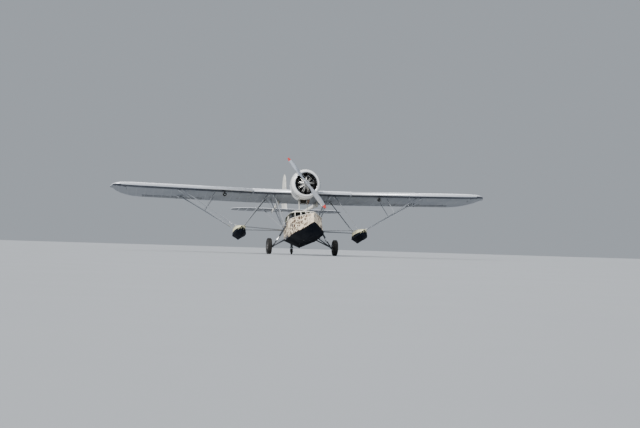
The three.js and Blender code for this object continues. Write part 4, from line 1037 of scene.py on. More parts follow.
@dataclass(frozen=True)
class Metal:
    """Bare or plated metal with brushing, scuffs and stains."""

    name: str
    colour: Colour
    roughness: float = 0.3
    stain: Colour = (0.22, 0.20, 0.18, 1.0)
    stained: float = 0.3
    grain: Point = (60.0, 60.0, 60.0)
    metallic: float = 1.0
    tip_at: float = 0.0
    tip: Colour = srgb(196, 62, 58)
    seams: float = 0.0

    def build(self) -> bpy.types.Material:
        """Builds the metal.

        Returns:
            The material.
        """
        surface = Surface.start(self.name, Specular_IOR_Level=0.5)
        graph, spot = surface.graph, surface.spot
        weather = surface.group(Effect.weathering(), {"Vector": spot, "Patches": 7.0, "Streaks": 16.0})
        scratched = graph.noise(graph.stretched(spot, self.grain), 5.0, 3.0, 0.7)
        stain = graph.times(graph.math("MAXIMUM", weather["Fade"], weather["Streak"]), self.stained)
        base = graph.mix(stain, self.colour, self.stain)
        base = graph.mix(graph.times(scratched, 0.18), base, (0.9, 0.9, 0.9, 1.0))
        metallic: Any = self.metallic
        height = scratched
        if self.seams > 0:
            x, y, z = graph.split(spot)
            joints = surface.group(
                Effect.seams(), {"Along": x, "Across": graph.plus(y, z), "Bay": 1.2, "Pitch": 0.035}
            )
            base = graph.mix(graph.times(joints["Line"], 0.7), base, (0.12, 0.12, 0.12, 1.0))
            height = graph.times_plus(joints["Height"], self.seams, graph.times(scratched, 0.1))
        if self.tip_at > 0:
            hub = graph.add("VectorMath", {0: spot, 1: AXES.hub}, operation="DISTANCE").outputs["Value"]
            painted = graph.between(hub, self.tip_at, self.tip_at + 0.004)
            base = graph.mix(painted, base, self.tip)
            metallic = graph.minus(self.metallic, painted, clamp=True)
        surface.feed("Base Color", base)
        surface.feed(
            "Roughness", graph.times_plus(graph.plus(scratched, stain), 0.16, self.roughness, clamp=True)
        )
        if self.tip_at > 0:
            surface.feed("Metallic", metallic)
        else:
            surface.shader.inputs["Metallic"].default_value = self.metallic
        surface.relief(height, 0.0012 if self.seams > 0 else 0.0002)
        return surface.material


@dataclass(frozen=True)
class Rubber:
    """Tyre rubber, dusty in its tread and smooth on its walls."""

    name: str = "tyre rubber"
    colour: Colour = srgb(30, 31, 33)
    dust: Colour = srgb(104, 98, 88)

    def build(self) -> bpy.types.Material:
        """Builds the rubber.

        Returns:
            The material.
        """
        surface = Surface.start(self.name, Specular_IOR_Level=0.35)
        graph, spot = surface.graph, surface.spot
        weather = surface.group(Effect.weathering(), {"Vector": spot, "Patches": 12.0, "Streaks": 30.0})
        grain = graph.noise(spot, 420.0, 3.0, 0.7)
        dusty = graph.times(weather["Fade"], 0.22)
        surface.feed("Base Color", graph.mix(dusty, self.colour, self.dust))
        surface.feed("Roughness", graph.times_plus(grain, 0.2, 0.62))
        surface.relief(grain, 0.0006)
        return surface.material


@dataclass(frozen=True)
class Hide:
    """Seat leather with creased grain, painted shade in its creases and worn places."""

    name: str = "seat leather"
    colour: Colour = srgb(104, 58, 34)
    worn: Colour = srgb(150, 98, 66)

    def build(self) -> bpy.types.Material:
        """Builds the leather.

        Returns:
            The material.
        """
        surface = Surface.start(self.name, Specular_IOR_Level=0.4, Coat_Weight=0.08, Coat_Roughness=0.3)
        graph, spot = surface.graph, surface.spot
        grain = graph.add(
            "TexVoronoi", {"Vector": spot, "Scale": 260.0}, feature="DISTANCE_TO_EDGE"
        ).outputs["Distance"]
        creases = graph.noise(graph.stretched(spot, (1.0, 3.0, 3.0)), 14.0, 5.0, 0.65)
        rubbed = graph.between(graph.noise(spot, 5.0, 4.0), 0.5, 0.68)
        base = graph.mix(graph.times(rubbed, 0.6), self.colour, self.worn)
        # Painted shade: the colour darkens where the crease noise is low, which is where the relief sinks.
        surface.feed(
            "Base Color",
            graph.mix(graph.between(creases, 0.3, 0.45, 0.35, 0.0), base, (0.03, 0.015, 0.01, 1.0)),
        )
        surface.feed("Roughness", graph.times_plus(rubbed, -0.15, 0.55))
        fine = graph.times(graph.between(grain, 0.0, 0.12), 0.3)
        surface.relief(graph.plus(fine, creases), 0.0012)
        return surface.material


@dataclass(frozen=True)
class Glazing:
    """Clear, slightly tinted sheet with fine scratches."""

    name: str = "window glass"
    tint: Colour = (0.62, 0.66, 0.66, 1.0)
    clear: float = 1.0

    def build(self) -> bpy.types.Material:
        """Builds the glazing.

        Returns:
            The material.
        """
        surface = Surface.start(self.name, IOR=1.45, Transmission_Weight=self.clear, Metallic=0.0)
        graph, spot = surface.graph, surface.spot
        haze = graph.noise(spot, 9.0, 4.0)
        surface.shader.inputs["Base Color"].default_value = self.tint
        surface.feed("Roughness", graph.between(haze, 0.4, 0.8, 0.015, 0.09))
        surface.relief(graph.noise(graph.stretched(spot, (1.0, 40.0, 40.0)), 9.0, 3.0), 0.00004)
        return surface.material


@dataclass(frozen=True)
class Glow:
    """A lit or coloured lens."""

    name: str
    colour: Colour
    strength: float = 0.6

    def build(self) -> bpy.types.Material:
        """Builds the lens.

        Returns:
            The material.
        """
        surface = Surface.start(self.name, Roughness=0.12, Coat_Weight=0.6, Emission_Strength=self.strength)
        graph, spot = surface.graph, surface.spot
        flutes = graph.math("SINE", graph.times(graph.split(spot)[0], 900.0))
        shade = graph.mix(graph.between(flutes, -1.0, 1.0, 0.0, 0.35), self.colour, (0.9, 0.9, 0.9, 1.0))
        surface.feed("Base Color", shade)
        surface.feed("Emission Color", shade)
        surface.relief(flutes, 0.0004)
        return surface.material


@dataclass(frozen=True)
class Mesh:
    """The honeycomb of a cooler's core, with painted shade in its cells."""

    name: str = "cooler core"
    scale: float = 130.0

    def build(self) -> bpy.types.Material:
        """Builds the honeycomb.

        Returns:
            The material.
        """
        surface = Surface.start(self.name, Roughness=0.45, Metallic=0.7)
        graph, spot = surface.graph, surface.spot
        cells = graph.add(
            "TexVoronoi", {"Vector": spot, "Scale": self.scale, "Randomness": 0.15},
            feature="DISTANCE_TO_EDGE",
        )
        # Painted shade: the cells' openings are near black for the shade inside them, with brown walls
        # between.
        wall = graph.between(cells.outputs["Distance"], 0.05, 0.14, 1.0, 0.0)
        surface.feed("Base Color", graph.mix(wall, (0.012, 0.012, 0.014, 1.0), (0.30, 0.24, 0.17, 1.0)))
        surface.relief(wall, 0.004)
        return surface.material


class Finish(Enum):
    """Every finish of the flying boat."""

    PRINT = AnimalPrint(
        "animal print paint", srgb(250, 234, 206), roughness=0.38, chips=0.1, grime=0.12, seams=0.5
    )
    BOTTOM = Enamel(
        "bottom paint", srgb(17, 22, 31), roughness=0.6, coat=0.0, grime=0.05, under=(0.05, 0.055, 0.06, 1),
        chips=0.1,
        seams=0.7, shine=0.06,
    )
    # Painted shade: a dark band on the lower face of the wing's nose, just behind the leading edge sheet,
    # stands for the shade under the nose.
    BOOT = Enamel("wing boot paint", srgb(58, 64, 76), roughness=0.5, coat=0.05, grime=0.3, chips=0.1)
    IVORY = Enamel("ivory enamel", srgb(236, 233, 222), roughness=0.34, coat=0.3, grime=0.2, chips=0.06)
    COWL_IVORY = Enamel(
        "cowl enamel", srgb(232, 235, 237), roughness=0.3, coat=0.35, grime=0.25, chips=0.08, seams=0.7,
        bay=0.37,
    )
    FLOAT_TOP = Enamel(
        "float deck enamel", srgb(232, 228, 190), roughness=0.4, chips=0.15, grime=0.3, seams=1.0
    )
    CABIN_INSIDE = Enamel("cabin lining paint", srgb(120, 124, 112), roughness=0.6, coat=0.0, chips=0.15)
    STRUT = Enamel(
        "strut paint", srgb(158, 163, 170), roughness=0.3, coat=0.4, grime=0.2, chips=0.12,
        under=(0.55, 0.55, 0.55, 1),
        metallic=0.2,
    )
    FITTING = Enamel(
        "strut fitting paint", srgb(196, 200, 206), roughness=0.3, coat=0.3, metallic=0.3, chips=0.2
    )
    GEAR = Enamel(
        "gear paint", srgb(74, 78, 85), roughness=0.42, coat=0.1, grime=0.4, chips=0.28,
        under=(0.5, 0.5, 0.5, 1),
    )
    DARK = Enamel("dark enamel", srgb(36, 38, 42), roughness=0.45, coat=0.1, grime=0.2, chips=0.15)
    WALKWAY = Enamel("walkway coating", srgb(58, 58, 58), roughness=0.8, coat=0.0, grime=0.4, chips=0.25)
    PANEL = Enamel("instrument panel crackle", srgb(40, 40, 42), roughness=0.55, coat=0.05, chips=0.06)
    DOPE = DopedFabric("silver dope")
    # Painted shade: a still darker copy of the silver dope for the lower faces of the ailerons, tailplane and
    # elevator, and the ailerons' lower tapes.
    UNDER_DOPE = DopedFabric("weathered under dope", srgb(94, 98, 105))
    # Painted shade: a darker copy of the silver dope for the wing's lower faces, its lower rib tapes and
    # lower joint bands.
    UNDER_WING = DopedFabric("under wing dope", srgb(132, 137, 145))
    IVORY_DOPE = DopedFabric("ivory dope", srgb(233, 231, 222), bay=0.32, depth=0.004)
    LEADING_EDGE = Metal(
        "leading edge sheet", srgb(232, 236, 244), roughness=0.27, stained=0.10, metallic=0.55, seams=0.6
    )
    BLADE = Metal(
        "propeller metal", srgb(214, 219, 228), roughness=0.24, stained=0.08, grain=(20.0, 200.0, 20.0),
        tip_at=1.145,
    )
    CYLINDER = Metal("cylinder metal", srgb(74, 76, 82), roughness=0.45, stained=0.25, metallic=0.7)
    HEAD = Metal("cylinder head metal", srgb(112, 114, 118), roughness=0.48, stained=0.3, metallic=0.65)
    CRANKCASE = Metal("crankcase metal", srgb(56, 62, 76), roughness=0.4, stained=0.25, metallic=0.45)
    LEAD = Rubber("lead rubber", srgb(24, 24, 26), srgb(58, 54, 48))
    TUBE = Metal("pushrod tube metal", srgb(226, 226, 220), roughness=0.22, stained=0.06, metallic=0.8)
    BRASS = Metal("brass", srgb(176, 138, 74), roughness=0.32, stained=0.3)
    CHROME = Metal("plated metal", srgb(222, 224, 228), roughness=0.14, stained=0.08)
    STEEL = Metal("dull steel", srgb(128, 130, 134), roughness=0.42, stained=0.35)
    EXHAUST = Metal(
        "heat stained exhaust", srgb(122, 84, 62), roughness=0.5, stain=(0.07, 0.05, 0.045, 1), stained=0.65
    )
    COOLER = Mesh()
    TYRE = Rubber()
    LEATHER = Hide()
    PIPING = Hide("seat piping", srgb(66, 36, 22), srgb(92, 58, 40))
    GLASS = Glazing()
    DIAL = Enamel("dial face", srgb(16, 16, 18), roughness=0.5, coat=0.0, grime=0.05, chips=0.0)
    MARKS = Glow("dial marks", srgb(214, 222, 190), 0.12)
    RED_LENS = Glow("red lens", srgb(176, 24, 22), 0.25)
    GREEN_LENS = Glow("green lens", srgb(18, 128, 62), 0.25)
    WHITE_LENS = Glow("white lens", srgb(226, 226, 218), 0.12)

    @property
    def material(self) -> bpy.types.Material:
        """This finish's material, built on first use."""
        return bpy.data.materials.get(self.value.name) or self.value.build()


def under_side(spot: Vector, normal: Vector) -> int:
    """A rule that gives a piece's second finish, a darker dope as painted shade, to the faces that look down.
    """
    return 1 if normal.z < 0 else 0


def body_of(node: str) -> str:
    """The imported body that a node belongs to."""
    return frame["nodes"][node]["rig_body"]


def dress(
    node: str,
    slot: str,
    *finishes: Finish,
    rule: Rule | None = None,
    crease: float = 32.0,
) -> bpy.types.Object:
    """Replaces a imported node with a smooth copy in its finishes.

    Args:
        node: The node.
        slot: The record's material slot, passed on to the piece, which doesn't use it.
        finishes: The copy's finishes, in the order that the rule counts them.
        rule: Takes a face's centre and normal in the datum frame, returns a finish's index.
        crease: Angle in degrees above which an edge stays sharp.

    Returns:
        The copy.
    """
    form = Form.carried(node)
    if rule is not None:
        form.paint(rule)
    return form.finish(
        f"{node}_skin", slot, *finishes, body=body_of(node), crease=crease, replaces=(node,), carried=True
    )


def eased(rows: Rows, at: float) -> list[float]:
    """A smooth curve through a table's rows that never overshoots them.

    Args:
        rows: Rows whose first column is the place along the curve.
        at: The place wanted.

    Returns:
        The other columns there.
    """
    last = len(rows) - 1
    at = min(max(at, rows[0][0]), rows[last][0])
    i = max(k for k in range(last) if rows[k][0] <= at)

    def slope(k: int, column: int) -> float:
        """The rise of a column from one row to the next."""
        return (rows[k + 1][column] - rows[k][column]) / (rows[k + 1][0] - rows[k][0])

    def tangent(k: int, column: int) -> float:
        """The curve's slope at a row, which is flat where the column turns."""
        if k == 0 or k == last:
            return slope(min(k, last - 1), column)
        before, after = slope(k - 1, column), slope(k, column)
        return 2 * before * after / (before + after) if before * after > 0 else 0.0

    length = rows[i + 1][0] - rows[i][0]
    t = (at - rows[i][0]) / length
    found = []
    for column in range(1, len(rows[0])):
        ends = rows[i][column], rows[i + 1][column]
        pulls = tangent(i, column) * length, tangent(i + 1, column) * length
        found.append(
            (2 * t**3 - 3 * t**2 + 1) * ends[0]
            + (t**3 - 2 * t**2 + t) * pulls[0]
            + (3 * t**2 - 2 * t**3) * ends[1]
            + (t**3 - t**2) * pulls[1]
        )
    return found


@dataclass
class Hull:
    """The planing hull with its bottom, sides, deck, fittings and bow hatch."""

    forebody: Rows = (
        (0.0, 0.500, 0.012, 0.560, 0.012, 0.915),
        (0.11, 0.410, 0.140, 0.478, 0.062, 0.918),
        (0.3, 0.272, 0.275, 0.394, 0.136, 0.922),
        (0.6, 0.145, 0.415, 0.320, 0.248, 0.930),
        (1.05, 0.055, 0.540, 0.284, 0.396, 0.940),
        (1.6, 0.012, 0.604, 0.272, 0.548, 0.954),
        (2.2, 0.0, 0.625, 0.270, 0.640, 0.966),
        (3.0, 0.0, 0.630, 0.270, 0.668, 0.970),
        (4.0, 0.0, 0.625, 0.270, 0.655, 0.970),
    )
    afterbody: Rows = (
        (3.992, 0.095, 0.620, 0.345, 0.655, 0.970),
        (4.7, 0.190, 0.558, 0.408, 0.592, 0.966),
        (5.4, 0.298, 0.398, 0.478, 0.432, 0.956),
        (6.0, 0.388, 0.190, 0.542, 0.214, 0.942),
        (6.4, 0.450, 0.020, 0.590, 0.020, 0.928),
    )
    step: float = 4.0
    crown: float = 0.034
    wall: float = 0.018
    deck_wall: float = 0.012
    floor: float = 0.34
    hinge: Point = (0.0, 0.692, 0.9864)
    straps_y: Numbers = (1.25, 2.05, 2.75, 3.70, 4.55, 5.25, 5.85)
    rail_radius: float = 0.013
    chine_radius: float = 0.010

    def section(self, y: float) -> list[float]:
        """Keel height, chine's x and z, deck edge's x and z at a station."""
        return eased(self.forebody if y < self.step else self.afterbody, y)

    def deck(self, x: float, y: float) -> float:
        """Height of the deck at a point."""
        _, _, _, deck_x, deck_z = self.section(y)
        rise = self.crown * min(1.0, deck_x / 0.3)
        share = min(1.0, abs(x) / deck_x)
        return deck_z + rise * ((1 - share / 2) if share < 0.5 else 1.5 * (1 - share))

    def colour(self, spot: Vector, normal: Vector) -> int:
        """Which finish a face of the hull has: print, bottom, lining or floor."""
        keel, chine_x, chine_z, deck_x, _ = self.section(spot.y)
        if abs(spot.y - self.step) < 0.01 and normal.y > 0.9:
            return 1
        low = spot.z < chine_z
        share = (spot.z - keel) / (chine_z - keel) if low else (spot.z - chine_z) / (0.97 - chine_z)
        half = chine_x * share if low else chine_x + (deck_x - chine_x) * min(1.0, share)
        bottom = keel + (chine_z - keel) * min(1.0, abs(spot.x) / chine_x)
        ceiling = self.deck(spot.x, spot.y) - self.deck_wall
        inside = abs(spot.x) < half - self.wall and bottom + self.wall < spot.z < ceiling
        if inside and 0.05 < spot.y < 6.39:
            return 3 if normal.z > 0.9 and spot.z < self.floor else 2
        return 1 if spot.z < chine_z + 0.006 else 0

    def strips(self) -> None:
        """Builds the keel, chine and sheer strips and the butt straps of the sides."""
        keel, sheer, straps = Form(), Form(), Form()
        for start, end in ((0.02, 3.975), (4.02, 6.34)):
            stations = spread(start, end, 34)
            keel.tube([(0, y, self.section(y)[0] - 0.003) for y in stations], self.rail_radius, 8)
            for sign in (-1, 1):
                keel.tube(
                    [(sign * (self.section(y)[1] + 0.002), y, self.section(y)[2] - 0.003) for y in stations],
                    self.chine_radius, 8,
                )
        for sign in (-1, 1):
            line = [
                (sign * (self.section(y)[3] + 0.003), y, self.section(y)[4] - 0.006)
                for y in spread(0.05, 6.36, 60)
            ]
            sheer.tube(line, self.rail_radius, 8)
            for y in self.straps_y:
                _, _, chine_z, _, deck_z = self.section(y)
                column = [(sign * 1.3, y, z) for z in spread(chine_z + 0.03, deck_z - 0.03, 5)]
                tape(straps, "hull", column, (-sign, 0, 0), 0.034, 0.0018)
        keel.finish("hull_keel_strips", "hull_paint", Finish.BOTTOM)
        sheer.finish("hull_sheer_strips", "hull_paint", Finish.IVORY)
        straps.finish("hull_straps", "hull_paint", Finish.PRINT)

    def fittings(self) -> None:
        """Builds the mooring ring, cleats, covers, drains and the bow hatch's fittings."""
        metal = Form()
        metal.box((-0.022, -0.006, 0.745), (0.022, 0.010, 0.835), 0.004)
        metal.ring((0, -0.016, 0.775), 0.028, 0.0055, "X", 28)
        for x, y in ((0.0, 0.36), (-0.41, 1.62), (0.41, 1.62), (-0.30, 5.72), (0.30, 5.72)):
            if (found := landing("hull", (x, y, 1.6), DOWN)) is not None:
                cleat(metal, found[0])
        for x, y, radius in (
            (0.0, 5.86, 0.085), (0.0, 6.12, 0.055), (-0.30, 1.28, 0.050), (0.30, 1.28, 0.050)
        ):
            if (found := landing("hull", (x, y, 1.6), DOWN)) is not None:
                cover(metal, *found, radius)
        for sign in (-1, 1):
            for y, z, radius in ((4.92, 0.72, 0.080), (5.62, 0.76, 0.060), (1.86, 0.66, 0.060)):
                if (found := landing("hull", (sign * 1.4, y, z), (-sign, 0, 0))) is not None:
                    cover(metal, *found, radius)
            for y in (1.9, 3.1, 3.8, 4.3, 5.3):
                if (found := landing("hull", (sign * 0.12, y, -0.5), UP)) is not None:
                    metal.rod(found[0] - found[1] * 0.004, found[0] + found[1] * 0.007, 0.019, 0.016, sides=8)
        metal.finish("hull_metal", "hull_paint", Finish.STEEL)
        lid = Form()
        for x in (-0.12, 0.12):
            knuckle = Vector(self.hinge) + Vector((x, 0, 0))
            lid.rod(knuckle - Vector((0.035, 0, 0)), knuckle + Vector((0.035, 0, 0)), 0.008)
            tape(lid, "bow_hatch_lid", [(x, y, 1.4) for y in spread(0.715, 0.80, 4)], DOWN, 0.05, 0.004)
        grip = landing("bow_hatch_lid", (0.0, 1.075, 1.4), DOWN)[0]
        lid.tube(
            [
                grip + Vector((x, 0, z))
                for x, z in ((-0.05, -0.003), (-0.045, 0.022), (0.045, 0.022), (0.05, -0.003))
            ],
            0.006,
        )
        lid.finish("bow_hatch_fittings", "cabin_paint", Finish.STEEL, body="bow_hatch")

    def build(self) -> None:
        """Dresses the hull and adds its fittings."""
        dress(
            "hull", "hull_paint", Finish.PRINT, Finish.BOTTOM, Finish.CABIN_INSIDE, Finish.WALKWAY,
            rule=self.colour, crease=20,
        )
        dress("bow_hatch_lid", "cabin_paint", Finish.PRINT)
        self.strips()
        self.fittings()


@dataclass(frozen=True)
class Cushion:
    """A stuffed leather pad, swollen by a short cloth simulation.

    It is drawn lying flat: X across, Y from front to back and Z up, with its middle at the origin.
    """

    name: str
    size: Point
    places: Sequence[Matrix]
    channels: int = 3
    cap: float = 0.024
    voxel: float = 0.012
    frames: int = 20
    pressure: float = 4.0
    start_share: Point = (0.95, 0.94, 0.66)
    piping: float = 0.0055
    channel_depth: float = 0.011
    channel_width: float = 0.013
    bevel: float = 0.28

    def blank(self) -> bpy.types.Object:
        """The slightly smaller, evenly meshed block that the pad starts from."""
        bm = bmesh.new()
        shrunk = [side * share for side, share in zip(self.size, self.start_share)]
        bmesh.ops.create_cube(bm, size=1.0, matrix=Matrix.Diagonal((*shrunk, 1)))
        bmesh.ops.bevel(
            bm, geom=bm.edges[:], offset=shrunk[2] * self.bevel, segments=3, profile=0.5, affect="EDGES",
            material=-1
        )
        mesh = bpy.data.meshes.new(f"{self.name}_blank")
        bm.to_mesh(mesh)
        bm.free()
        block = bpy.data.objects.new(f"{self.name}_blank", mesh)
        bpy.context.scene.collection.objects.link(block)
        remesh = block.modifiers.new("even", "REMESH")
        remesh.mode = "VOXEL"
        remesh.voxel_size = self.voxel
        block.data = self.evaluated(block)
        block.modifiers.clear()
        return block

    @staticmethod
    def evaluated(block: bpy.types.Object) -> bpy.types.Mesh:
        """A copy of the block's mesh with its modifiers applied."""
        graph = bpy.context.evaluated_depsgraph_get()
        return bpy.data.meshes.new_from_object(block.evaluated_get(graph))

    def swell(self, block: bpy.types.Object) -> None:
        """Runs the cloth on the block and keeps each point within the cap.

        Args:
            block: The evenly meshed block.
        """
        rest = [vert.co.copy() for vert in block.data.vertices]
        cloth = block.modifiers.new("swollen", "CLOTH")
        cloth.settings.quality = 5
        cloth.settings.mass = 0.3
        cloth.settings.use_pressure = True
        cloth.settings.uniform_pressure_force = self.pressure
        cloth.settings.effector_weights.gravity = 0.0
        cloth.point_cache.frame_start, cloth.point_cache.frame_end = 1, self.frames
        scene = bpy.context.scene
        for step in range(1, self.frames + 1):
            scene.frame_set(step)
            block.evaluated_get(bpy.context.evaluated_depsgraph_get())
        swollen = self.evaluated(block)
        block.modifiers.clear()
        scene.frame_set(1)
        for vert, start, end in zip(block.data.vertices, rest, swollen.vertices):
            move = end.co - start
            vert.co = start + move * min(1.0, self.cap / max(move.length, 1e-9))

    def sew(self, block: bpy.types.Object) -> None:
        """Presses the sewn channels into the top and rests the underside flat."""
        width, depth, thick = self.size
        pitch = width / (self.channels + 1) if self.channels else 1.0
        for vert in block.data.vertices:
            x, y, z = vert.co
            if z > 0 and self.channels:
                off = min(abs(x + width / 2 - pitch * (k + 1)) for k in range(self.channels))
                edge = max(0.0, 1 - (abs(y) / (depth * 0.5)) ** 6)
                z -= self.channel_depth * math.exp(-((off / self.channel_width) ** 2)) * edge
            vert.co.z = max(z, -thick / 2)
            vert.co.x = max(-width / 2, min(width / 2, x))
            vert.co.y = max(-depth / 2, min(depth / 2, y))

    def build(self) -> None:
        """Makes the pad once and lays a copy in each of its places, with piping round it."""
        block = self.blank()
        self.swell(block)
        self.sew(block)
        bm = bmesh.new()
        bm.from_mesh(block.data)
        tree = BVHTree.FromBMesh(bm)
        bm.free()
        loop = []
        for spot in circle((0, 0, 0), 1.0, "Z", 72):
            start = Vector((spot.x * self.size[0], spot.y * self.size[1], self.size[2] * 0.12))
            found = tree.ray_cast(start, (Vector((0, 0, start.z)) - start).normalized())[0]
            if found is not None:
                loop.append(found)
        for i, place in enumerate(self.places):
            word = f"{self.name}_{i + 1}" if len(self.places) > 1 else self.name
            form = Form(DATUM @ place)
            form.bm.from_mesh(block.data)
            pad = form.finish(word, "leather", Finish.LEATHER, subdivide=1, carried=True)
            seam = Form(DATUM @ place).tube(loop, self.piping, 6, closed=True)
            seam.finish(f"{word}_piping", "leather", Finish.PIPING)
        bpy.data.objects.remove(block)


@dataclass
class Cabin:
    """The enclosed cabin with its frame, glass, seats and controls."""

    middle: Point = (0.0, 3.4, 1.1)
    back_lean: float = math.radians(10.9)
    seat_slope: float = math.radians(-2.9)
    seat_x: float = 0.29
    floor_z: float = 0.300
    panel_y: float = 2.256
    posts: Sequence[tuple[Point, Point]] = (
        ((0.000, 1.930, 0.970), (0.000, 2.240, 1.292)),
        ((0.215, 1.990, 0.970), (0.205, 2.275, 1.290)),
        ((0.455, 2.150, 0.970), (0.425, 2.385, 1.286)),
        ((0.612, 2.560, 0.970), (0.566, 2.660, 1.284)),
        ((0.636, 3.280, 0.970), (0.588, 3.300, 1.284)),
        ((0.632, 4.000, 0.970), (0.582, 4.000, 1.280)),
    )
    foot_rail: float = 0.062
    head_rail: float = 0.020
    post_width: float = 0.022
    bead: float = 0.006
    hatch_hinge: Point = (0.0, 4.118, 1.3586)
    rail_x: float = 0.33
    rail_rise: float = 0.036
    dials: Sequence[Point] = (
        *((x, 0.945, 0.040) for x in (-0.42, -0.32, -0.22, -0.12, 0.12, 0.22, 0.32, 0.42)),
        (0.0, 0.955, 0.030),
        *((x, 0.860, 0.028) for x in (-0.38, -0.30, -0.22, 0.38, 0.30, 0.22)),
    )

    def colour(self, spot: Vector, normal: Vector) -> int:
        """Which finish a face of the frame has: enamel outside or lining inside."""
        if abs(normal.z) > 0.45:
            return 0 if normal.z > 0 else 1
        away = Vector((spot.x, (spot.y - self.middle[1]) * 0.35, 0))
        return 0 if normal.dot(away) > 0 else 1

    def outline(self, run: Sequence[int], sign: int) -> list[Vector]:
        """The opening of one window between its posts.

        Args:
            run: The posts' numbers, from the front.
            sign: 1 for port, -1 for starboard.

        Returns:
            The opening's corners in the datum frame.
        """
        low, high = [], []
        for foot, eave in (self.posts[k] for k in run):
            start, end = (Vector((x * sign, y, z)) for x, y, z in (foot, eave))
            along = (end - start).normalized()
            low.append(start + along * self.foot_rail)
            high.append(end - along * self.head_rail)
        for row in (low, high):
            row[0] += (row[1] - row[0]).normalized() * self.post_width
            row[-1] += (row[-2] - row[-1]).normalized() * self.post_width
        return low + high[::-1]

    def glass(self) -> None:
        """Dresses the panes and lays a rubber bead round each opening."""
        both = [side.value for side in Side]
        for node, runs, signs in (
            ("windscreen", ((0, 1), (1, 2), (2, 3, 4)), both),
            ("side_windows_port", ((4, 5),), both[:1]),
            ("side_windows_starboard", ((4, 5),), both[1:]),
        ):
            dress(node, "glass", Finish.GLASS, crease=15)
            beads = Form()
            for run in runs:
                for sign in signs:
                    beads.tube(self.outline(run, sign), self.bead, 6, closed=True)
            beads.finish(f"{node}_bead", "glass", Finish.LEAD)

    def roof(self) -> None:
        """Builds the roof's handrails, straps and the hatch's fittings."""
        rails, straps = Form(), Form()
        rise = Vector((0, 0, self.rail_rise))
        for sign in (-1, 1):
            line = [landing("cabin_frame", (sign * self.rail_x, y, 2.0), DOWN) for y in spread(2.72, 4.02, 9)]
            feet = [found[0] for found in line if found is not None]
            rails.tube([feet[0], *(foot + rise for foot in feet), feet[-1]], 0.0085, 8)
            for foot in feet[2:-2:2]:
                rails.rod(foot - Vector((0, 0, 0.004)), foot + rise, 0.0065)
            for foot in feet[::2]:
                rails.rod(foot - Vector((0, 0, 0.004)), foot + Vector((0, 0, 0.004)), 0.020, sides=16)
        for y in (2.62, 3.30, 4.05, 4.62):
            across = [(x, y, 2.0) for x in spread(-0.52, 0.52, 15)]
            tape(straps, "cabin_frame", across, DOWN, 0.026, 0.0022)
        rails.finish("roof_rails", "cabin_paint", Finish.STEEL)
        straps.finish("roof_straps", "cabin_paint", Finish.IVORY)
        lid = Form()
        for x in (-0.17, 0.0, 0.17):
            tape(lid, "cabin_hatch_lid", [(x, y, 2.0) for y in spread(4.19, 4.53, 6)], DOWN, 0.030, 0.004)
        hinge = Vector(self.hatch_hinge)
        for x in (-0.18, 0.18):
            lid.rod(hinge + Vector((x - 0.035, 0, 0)), hinge + Vector((x + 0.035, 0, 0)), 0.009)
        lid.finish("cabin_hatch_ribs", "cabin_paint", Finish.IVORY, body="cabin_hatch")
        grip = landing("cabin_hatch_lid", (0.0, 4.545, 2.0), DOWN)[0]
        handle = Form().tube(
            [
                grip + Vector((x, 0, z))
                for x, z in ((-0.06, -0.003), (-0.055, 0.024), (0.055, 0.024), (0.06, -0.003))
            ],
            0.006,
        )
        handle.finish("cabin_hatch_handle", "cabin_paint", Finish.CHROME, body="cabin_hatch")

    def panel(self) -> None:
        """Dresses the panel and the control column and builds the instruments, switches, levers and pedals.
        """
        dress("instrument_panel", "dark_paint", Finish.PANEL)
        dress("control_column", "dark_paint", Finish.DARK)
        bezels, faces, marks = Form(), Form(), Form()
        for number, (x, z, radius) in enumerate(self.dials):
            centre = (x, self.panel_y, z)
            rim = (
                (radius, -0.002), (radius, 0.010), (radius * 0.90, 0.013), (radius * 0.84, 0.006),
                (radius * 0.84, -0.002),
            )
            bezels.lathe([*rim, rim[0]], centre, sides=28)
            faces.rod((x, self.panel_y - 0.002, z), (x, self.panel_y + 0.004, z), radius * 0.85, sides=24)
            steps = 12 if radius > 0.03 else 8
            for i in range(steps):
                turn = Matrix.Translation(centre) @ Matrix.Rotation(math.tau * i / steps, 4, "Y")
                marks.box((-0.0011, 0.0035, radius * 0.64), (0.0011, 0.0050, radius * 0.80), 0.0, turn)
            turn = Matrix.Translation(centre) @ Matrix.Rotation(0.7 + 1.9 * number, 4, "Y")
            marks.box((-0.0016, 0.0040, -radius * 0.15), (0.0016, 0.0060, radius * 0.62), 0.0, turn)
            bezels.bolts(circle((x, self.panel_y + 0.001, z), radius * 1.16, "Y", 4), AFT, 0.006)
        for i in range(9):
            x = -0.16 + 0.04 * i
            bezels.rod((x, self.panel_y, 0.800), (x, self.panel_y + 0.006, 0.800), 0.008, sides=12)
            bezels.rod((x, self.panel_y, 0.800), (x, self.panel_y + 0.024, 0.792 + 0.012 * (i % 2)), 0.003)
        bezels.finish("instrument_bezels", "dark_paint", Finish.STEEL)
        faces.finish("instrument_faces", "dark_paint", Finish.DIAL)
        marks.finish("instrument_marks", "dark_paint", Finish.MARKS)
        levers, knobs = Form(), Form()
        levers.box((-0.075, 2.235, 0.700), (0.075, 2.300, 0.765), 0.008)
        for x in (-0.045, -0.015, 0.015, 0.045):
            levers.rod((x, 2.27, 0.755), (x, 2.335 + x * 0.3, 0.835), 0.0045)
            knobs.ball((x, 2.335 + x * 0.3, 0.840), 0.0125)
        for centre in (-0.29, 0.29):
            for x in (centre - 0.085, centre + 0.085):
                levers.box((x - 0.035, 2.290, 0.400), (x + 0.035, 2.302, 0.500), 0.004)
                levers.rod((x, 2.300, 0.450), (x, 2.215, self.floor_z + 0.01), 0.011)
            levers.rod(
                (centre - 0.13, 2.215, self.floor_z + 0.014), (centre + 0.13, 2.215, self.floor_z + 0.014),
                0.012,
            )
        levers.finish("cabin_levers", "dark_paint", Finish.STEEL)
        knobs.finish("lever_knobs", "dark_paint", Finish.DARK)

